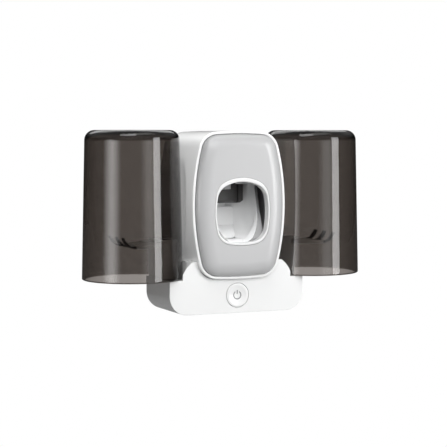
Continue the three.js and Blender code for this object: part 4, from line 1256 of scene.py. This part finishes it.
def screw_shape(x, y, z):
    """A screw with its head to the back, seated at depth y."""
    section = [
        (0, -9),
        (0.9, -9),
        (SCREW_SHANK, -8),
        (SCREW_SHANK, 0),
        (SCREW_HEAD - 0.2, 0),
        (SCREW_HEAD, 0.25),
    ]
    section += [(SCREW_HEAD * cosine, SCREW_RIM + sine) for sine, cosine in quarter(6)]
    bm = turned(section, (0, 0, 0), 40)
    bm = carved(bm, block(*CROSS, *CROSS_ARM, *CROSS_DEPTH))
    bm = carved(bm, block(*CROSS_ARM, *CROSS, *CROSS_DEPTH))
    return stood(bm, (x, y, z), -1)


for s, word in SIDES:
    x, z = BASE_SCREW
    head = screw_shape(s * x, BASE_BACK + SEAT_GAP, z)
    finished(head, f"base_fixing_{word}", "holder", f"base_screw_{word}", steel)

# Base cover and charging inlet. A white plate closes the base's back, screwed to two bosses,
# and the inlet is a flat folded steel sleeve with a tongue, soldered to the board.
COVER_PLATE = (18.2, 20.4)
PLATE_INSET = 2.5
PLATE_TOP = 21.5
INLET = (35, 12)
INLET_HOLE = (9.6, 4.0)
INLET_OUTER = (9, 3.4)
INLET_INNER = (8, 2.4)
INLET_FRONT = 13
TONGUE = (2.25, 0.3)


def stadium(x, z, width, height, front, back):
    """A bar with round ends in X and Z, from the front to the back."""
    bm = bmesh.new()
    reach, radius = (width - height) / 2, height / 2
    first = bm.verts.new((x + reach, front, z - radius))
    vert = arc(bm, first, (x + reach, front, z), ANTICLOCKWISE, math.pi, 16)
    vert = line(bm, vert, (x - reach, front, z + radius))
    vert = arc(bm, vert, (x - reach, front, z), ANTICLOCKWISE, math.pi, 16)
    bm.edges.new((vert, first))
    return prism(bm, bm.edges[:], (0, back - front, 0))


def base_plate():
    front, back = COVER_PLATE
    bm = tray(PLATE_INSET, PLATE_TOP, front, back)
    softened(bm, sharp_edges(bm, 60, lambda co: co.y > back - 0.01), 0.5, 3)
    x, z = BASE_SCREW
    holes = [rod("Y", SCREW_PILOT, (s * x, z), front - 1, back + 1) for s in (-1, 1)]
    holes.append(stadium(*INLET, *INLET_HOLE, front - 1, back + 1))
    return carved(bm, gathered(*holes))


def inlet_sleeve():
    back = COVER_PLATE[1]
    bm = stadium(*INLET, *INLET_OUTER, INLET_FRONT, back)
    bm = carved(bm, stadium(*INLET, *INLET_INNER, INLET_FRONT + 0.5, back + 0.6))
    x, z = INLET
    wide, thick = TONGUE
    tongue = (INLET_FRONT + 0.2, back - 1.5, z - thick, z + thick)
    return carved(bm, block(x - wide, x + wide, *tongue, 0.1), "UNION")


finished(base_plate(), "base_plate", "holder", "base_cover", white_gloss)
finished(inlet_sleeve(), "inlet_sleeve", "holder", "charge_inlet", steel)

# Rear cover. A white plate of the tower's outline, held by four screws, with two keyholes for
# the wall plate's hooks and a post inside that the paddle's spring leans on.
REAR_PLATE = (29.9, 32.2)
SPRING_POST = 3.6
KEYHOLE_X = 12
KEYHOLE = (69.3, 81.3)
KEYHOLE_HEAD = 4.6
KEYHOLE_SLOT = 2.5


def rear_plate():
    front, back = REAR_PLATE
    bm = bowed_prism(TOWER, TOWER_MIDDLE, 0, front, back)
    softened(bm, sharp_edges(bm, 60, lambda co: co.y > back - 0.01), 0.9, 4)
    post = rod("Y", SPRING_POST, (0, SPRING_HEIGHT), SPRING_BACK + SEAT_GAP, back - 0.5)
    softened(post, sharp_edges(post), 0.3, 2)
    bm = carved(bm, post, "UNION")
    through = (front - 1, back + 1)
    bm = carved(bm, gathered(*(rod("Y", SCREW_PILOT, place, *through) for place in TOWER_BOSSES)))
    low, high = KEYHOLE
    for s in (-1, 1):
        x = s * KEYHOLE_X
        head = rod("Y", KEYHOLE_HEAD, (x, low), *through, 64)
        slot = block(x - KEYHOLE_SLOT, x + KEYHOLE_SLOT, *through, low, high)
        end = rod("Y", KEYHOLE_SLOT, (x, high), *through)
        bm = carved(bm, carved(carved(head, slot, "UNION"), end, "UNION"))
    return bm


finished(rear_plate(), "rear_plate", "holder", "rear_cover", white_gloss)

for i, (x, z) in enumerate(TOWER_BOSSES):
    head = screw_shape(x, REAR_PLATE[1] + SEAT_GAP, z)
    finished(head, f"rear_fixing_{i + 1}", "holder", f"rear_screw_{i + 1}", steel)

# Wall plate and adhesive pad. A stiff white plate with two headed hooks, stuck to the wall by
# a grey foam pad, stays behind when the holder is lifted off.
HOOK_PLATE = (32.5, 34.7)
HOOK_RADIUS = 2
HOOK_HEAD = 4
HOOK_FRONT = 28


def rounded_plate(half_x, low, high, corner, front, back):
    """A plate with round corners in X and Z, from the front to the back."""
    bm = bmesh.new()
    x, foot, head = half_x - corner, low + corner, high - corner
    bend = (ANTICLOCKWISE, math.pi / 2, 10)
    first = bm.verts.new((x, front, low))
    vert = arc(bm, first, (x, front, foot), *bend)
    vert = arc(bm, line(bm, vert, (half_x, front, head)), (x, front, head), *bend)
    vert = arc(bm, line(bm, vert, (-x, front, high)), (-x, front, head), *bend)
    vert = arc(bm, line(bm, vert, (-half_x, front, foot)), (-x, front, foot), *bend)
    bm.edges.new((vert, first))
    return prism(bm, bm.edges[:], (0, back - front, 0))


def hook_plate():
    front, back = HOOK_PLATE
    bm = rounded_plate(half_x=21, low=47.3, high=103.3, corner=6, front=front, back=back)
    softened(bm, sharp_edges(bm, 60), 0.5, 3)
    for s in (-1, 1):
        place = (s * KEYHOLE_X, KEYHOLE[1])
        head = rod("Y", HOOK_HEAD, place, HOOK_FRONT, HOOK_FRONT + 1.6)
        softened(head, sharp_edges(head), 0.4, 3)
        hook = carved(rod("Y", HOOK_RADIUS, place, HOOK_FRONT + 0.5, back - 0.5), head, "UNION")
        bm = carved(bm, hook, "UNION")
    return bm


def foam_paint():
    """Grey foam with small open cells."""
    material, place = paint("foam_pad")
    cells = place.node("ShaderNodeTexVoronoi", {}, {"Vector": place, "Scale": 1500.0}, "Distance")
    share = cells * 0.7 + noise(place, 120.0, 3.0) * 0.3
    sockets = {
        "Base Color": toned(share, (0.2, 0.21, 0.22), (0.34, 0.35, 0.36)),
        "Roughness": 0.9,
        "Normal": raised(cells, 0.5, 0.0003),
    }
    return coated(material, place, sockets)


finished(hook_plate(), "hook_plate", "wall_bracket", "wall_plate", inner_white)
pad = rounded_plate(half_x=19, low=49.3, high=101.3, corner=4, front=35, back=36)
softened(pad, sharp_edges(pad, 60), 0.25, 2)
finished(pad, "foam_pad", "wall_bracket", "adhesive_pad", foam_paint())

# Brush racks. On each side a hollow white post stands on the base inside the tumbler, with a
# plate and three prongs that brushes hang between. Soft dark tips turn up at the prongs' ends.
RACK_RADIUS = 31.5
POST_INNER = 36
POST_SIDES = (-12, 15)
POST_WALL = 2.4
POST_FOOT = BASE_TOP + SEAT_GAP
POST_TOP = 51.3
POST_ROOM_TOP = 47.7
COMB_SIDES = (-17.5, 15.5)
COMB_REACH = 7
PRONG_TOP = 49.8
PRONG_BOTTOM = 46.2
PRONG_END = 71.6
PRONG_PLACES = (-15, -1, 13)
PRONG_HALF = 2.5
TIP_BEND = 6
TIP_SWEEP = math.radians(75)
TIP_POINT = 0.9
TIP_HOLLOW = 2.3
TIP_ROOT = 1.9
LENS = (44.15, -1)
LENS_RADIUS = 4.7
LENS_FOOT = 49.8
LENS_RIM = 50.7
LENS_CROWN = 0.6
LAMP_HOLE = 4


def on_side(bm, side):
    """Leaves a right-hand shape as it is, or turns it into a left-hand one."""
    if side < 0:
        bmesh.ops.scale(bm, vec=(-1, 1, 1), verts=bm.verts)
        bmesh.ops.reverse_faces(bm, faces=bm.faces[:])
    return bm


def rack_comb():
    near, far = POST_SIDES
    keep = rod("Z", RACK_RADIUS, (CUP_X, CUP_Y), 20, 60, 160)
    post = carved(block(POST_INNER, BASE_HALF, near, far, POST_FOOT, POST_TOP), keep, "INTERSECT")
    softened(post, sharp_edges(post, 40), 0.8, 4)
    inner = rod("Z", RACK_RADIUS - POST_WALL, (CUP_X, CUP_Y), 20, POST_ROOM_TOP, 160)
    inside = BASE_HALF - POST_WALL
    room = block(POST_INNER, inside, near + POST_WALL, far - POST_WALL, 23, POST_ROOM_TOP)
    post = carved(post, carved(room, inner, "INTERSECT"))
    comb = block(inside, BASE_HALF + COMB_REACH, *COMB_SIDES, PRONG_BOTTOM, PRONG_TOP)
    for y in PRONG_PLACES:
        prong = block(
            BASE_HALF, PRONG_END, y - PRONG_HALF, y + PRONG_HALF, PRONG_BOTTOM, PRONG_TOP
        )
        for vert in prong.verts:
            if vert.co.x > BASE_HALF + 1 and vert.co.z > PRONG_BOTTOM + 1:
                vert.co.z = PRONG_BOTTOM + TIP_ROOT
        comb = carved(comb, prong, "UNION")
    softened(comb, sharp_edges(comb, 60), 0.6, 3)
    bm = carved(post, comb, "UNION")
    bm = carved(bm, rod("Z", LENS_RADIUS + SEAT_GAP, LENS, LENS_FOOT - SEAT_GAP, 55, 64))
    return carved(bm, rod("Z", LAMP_HOLE, LENS, 46, 55, 64))


def prong_tip(y):
    bm = bmesh.new()
    x, z = PRONG_END + SEAT_GAP, PRONG_TOP + TIP_BEND
    near, far = y - PRONG_HALF, y + PRONG_HALF
    outer = z - PRONG_BOTTOM
    first = bm.verts.new((x, near, PRONG_BOTTOM))
    vert = arc(bm, first, (x, near, z), ANTICLOCKWISE, TIP_SWEEP, 18)
    away = TIP_SWEEP - math.pi / 2
    point = outer - TIP_POINT / 2
    cap = (x + point * math.cos(away), near, z + point * math.sin(away))
    vert = arc(bm, vert, cap, ANTICLOCKWISE, math.pi, 8)
    root = (x, near, PRONG_BOTTOM + TIP_ROOT)
    vert = swollen(bm, vert, root, -TIP_HOLLOW, 18)
    bm.edges.new((vert, first))
    prism(bm, bm.edges[:], (0, far - near, 0))
    return softened(bm, sharp_edges(bm, 60), 0.45, 4)


def glass_lens():
    section = [(0, LENS_FOOT), (LENS_RADIUS, LENS_FOOT)]
    section += [(LENS_RADIUS * cosine, LENS_RIM + LENS_CROWN * sine) for sine, cosine in quarter(8)]
    return turned(section, (*LENS, 0), 64)


def lens_paint():
    """Violet-tinted clear glass that lets the ultraviolet lamp through."""
    material, place = paint("lamp_glass")
    cloud = noise(place, 300.0, 3.0)
    sockets = {
        "Base Color": toned(cloud, (0.56, 0.52, 0.86), (0.66, 0.63, 0.93)),
        "Roughness": 0.04 + cloud * 0.06,
        "Transmission Weight": 0.85,
        "IOR": 1.46,
    }
    return coated(material, place, sockets)


dark_silicone = moulded("dark_silicone", (0.06, 0.058, 0.056), 0.62, uneven=0.1, skin=0.15)
lamp_glass = lens_paint()
for s, word in SIDES:
    comb = on_side(rack_comb(), s)
    finished(comb, f"rack_comb_{word}", "holder", f"rack_{word}", white_gloss)
    lens = on_side(glass_lens(), s)
    node = f"lamp_lens_{word}"
    finished(lens, f"glass_lens_{word}", "holder", node, lamp_glass)
    for i, y in enumerate(PRONG_PLACES):
        tip = on_side(prong_tip(y), s)
        node = f"prong_tip_{word}_{i + 1}"
        finished(tip, f"soft_tip_{word}_{i + 1}", "holder", node, dark_silicone)


# Inside the base and the posts. The cell, the boards, their switch and the leads are shown
# as the solids that they are, in the finish of the real thing.
def board_paint():
    """Green varnish over copper tracks."""
    material, place = paint("circuit_board")
    tracks = place.node(
        "ShaderNodeTexBrick",
        {"offset": 0.37, "squash": 0.7},
        {
            "Vector": place,
            "Color1": (0.012, 0.085, 0.04, 1),
            "Color2": (0.016, 0.105, 0.05, 1),
            "Mortar": (0.05, 0.2, 0.09, 1),
            "Scale": 240.0,
            "Mortar Size": 0.04,
        },
        "Color",
    )
    gloss = 0.3 + noise(place, 400.0, 3.0) * 0.2
    return coated(material, place, {"Base Color": tracks, "Roughness": gloss})


def sleeve_paint():
    """A shrunk blue sleeve, with a pale ring round the cell near one end."""
    material, place = paint("cell_sleeve")
    along = place.node("ShaderNodeSeparateXYZ", {}, {"Vector": place}, "X")
    ring = along.between(0.0245, 0.0250) * along.between(0.0275, 0.0280, 1.0, 0.0)
    wrinkle = noise(place, 160.0, 4.0)
    sockets = {
        "Base Color": toned(ring, (0.028, 0.16, 0.43), (0.62, 0.66, 0.7)),
        "Roughness": 0.3 + wrinkle * 0.15,
        "Normal": raised(wrinkle, 0.15, 0.0004),
    }
    return coated(material, place, sockets)


lead_sleeve = moulded("lead_sleeve", (0.42, 0.035, 0.03), 0.45, uneven=0.08)
circuit_board = board_paint()
KEPT = {
    "battery": sleeve_paint(),
    "main_board": circuit_board,
    "tact_switch": dark_plastic,
    "lamp_board_left": circuit_board,
    "lamp_board_right": circuit_board,
    "lamp_lead_left": lead_sleeve,
    "lamp_lead_right": lead_sleeve,
    "tower_screw_left": steel,
    "tower_screw_right": steel,
}
for node, material in KEPT.items():
    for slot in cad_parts[node].material_slots:
        slot.material = material

# Tumblers. Smoked clear tumblers of moulded acrylic hang mouth down beside the tower, each
# over a brush rack. The closed end is thick, and the mouth has a round lip.
CUP_FOOT = 24.05
CUP_HEIGHT = 103.25
CUP_MOUTH = 35
CUP_TOP = 32.7
CUP_WALL = 2
CUP_END = 3.6
CUP_EDGE = 7
CUP_INNER_EDGE = 4
CUP_STEPS = 128
SMOKE_DENSITY = 720
SMOKE = (0.13, 0.075, 0.035)


def tumbler(x):
    slope = (CUP_MOUTH - CUP_TOP) / CUP_HEIGHT
    inner_top = CUP_HEIGHT - CUP_END
    start, inner_start = CUP_HEIGHT - CUP_EDGE, inner_top - CUP_INNER_EDGE
    lip = CUP_WALL / 2
    bm = bmesh.new()
    inner_axis = CUP_MOUTH - slope * inner_start - CUP_WALL - CUP_INNER_EDGE
    vert = line(bm, bm.verts.new((0, 0, inner_top)), (inner_axis, 0, inner_top))
    vert = arc(bm, vert, (inner_axis, 0, inner_start), CLOCKWISE, math.pi / 2, 10)
    vert = line(bm, vert, (CUP_MOUTH - CUP_WALL, 0, lip))
    vert = arc(bm, vert, (CUP_MOUTH - lip, 0, lip), ANTICLOCKWISE, math.pi, 12)
    edge_axis = CUP_MOUTH - slope * start - CUP_EDGE
    vert = line(bm, vert, (edge_axis + CUP_EDGE, 0, start))
    vert = arc(bm, vert, (edge_axis, 0, start), ANTICLOCKWISE, math.pi / 2, 14)
    line(bm, vert, (0, 0, CUP_HEIGHT))
    return full_turn(bm, (x, CUP_Y, CUP_FOOT), CUP_STEPS)


def smoke_paint():
    """Smoked acrylic: the tint is in the depth of the wall, and the polish hardly varies."""
    material, place = paint("smoked_clear")
    depth = {"Color": (*SMOKE, 1), "Density": SMOKE_DENSITY}
    tint = place.node("ShaderNodeVolumeAbsorption", {}, depth)
    sockets = {
        "Base Color": (1, 1, 1, 1),
        "Roughness": 0.008 + noise(place, 38.0, 4.0) ** 3 * 0.016,
        "Transmission Weight": 1.0,
        "IOR": 1.49,
    }
    return coated(material, place, sockets, Volume=tint)


smoked_clear = smoke_paint()
tumblers = []
for s, word in SIDES:
    bm = tumbler(s * CUP_X)
    body, node = f"{word}_tumbler", f"cup_{word}"
    tumblers.append(finished(bm, f"tumbler_{word}", body, node, smoked_clear))
lit_only(band_lamp, skin, *tumblers)
# The front lamp leaves the tumblers out, and lights all the rest.
for link in lit_only(front_lamp, *tumblers).collection_objects:
    link.light_linking.link_state = "EXCLUDE"
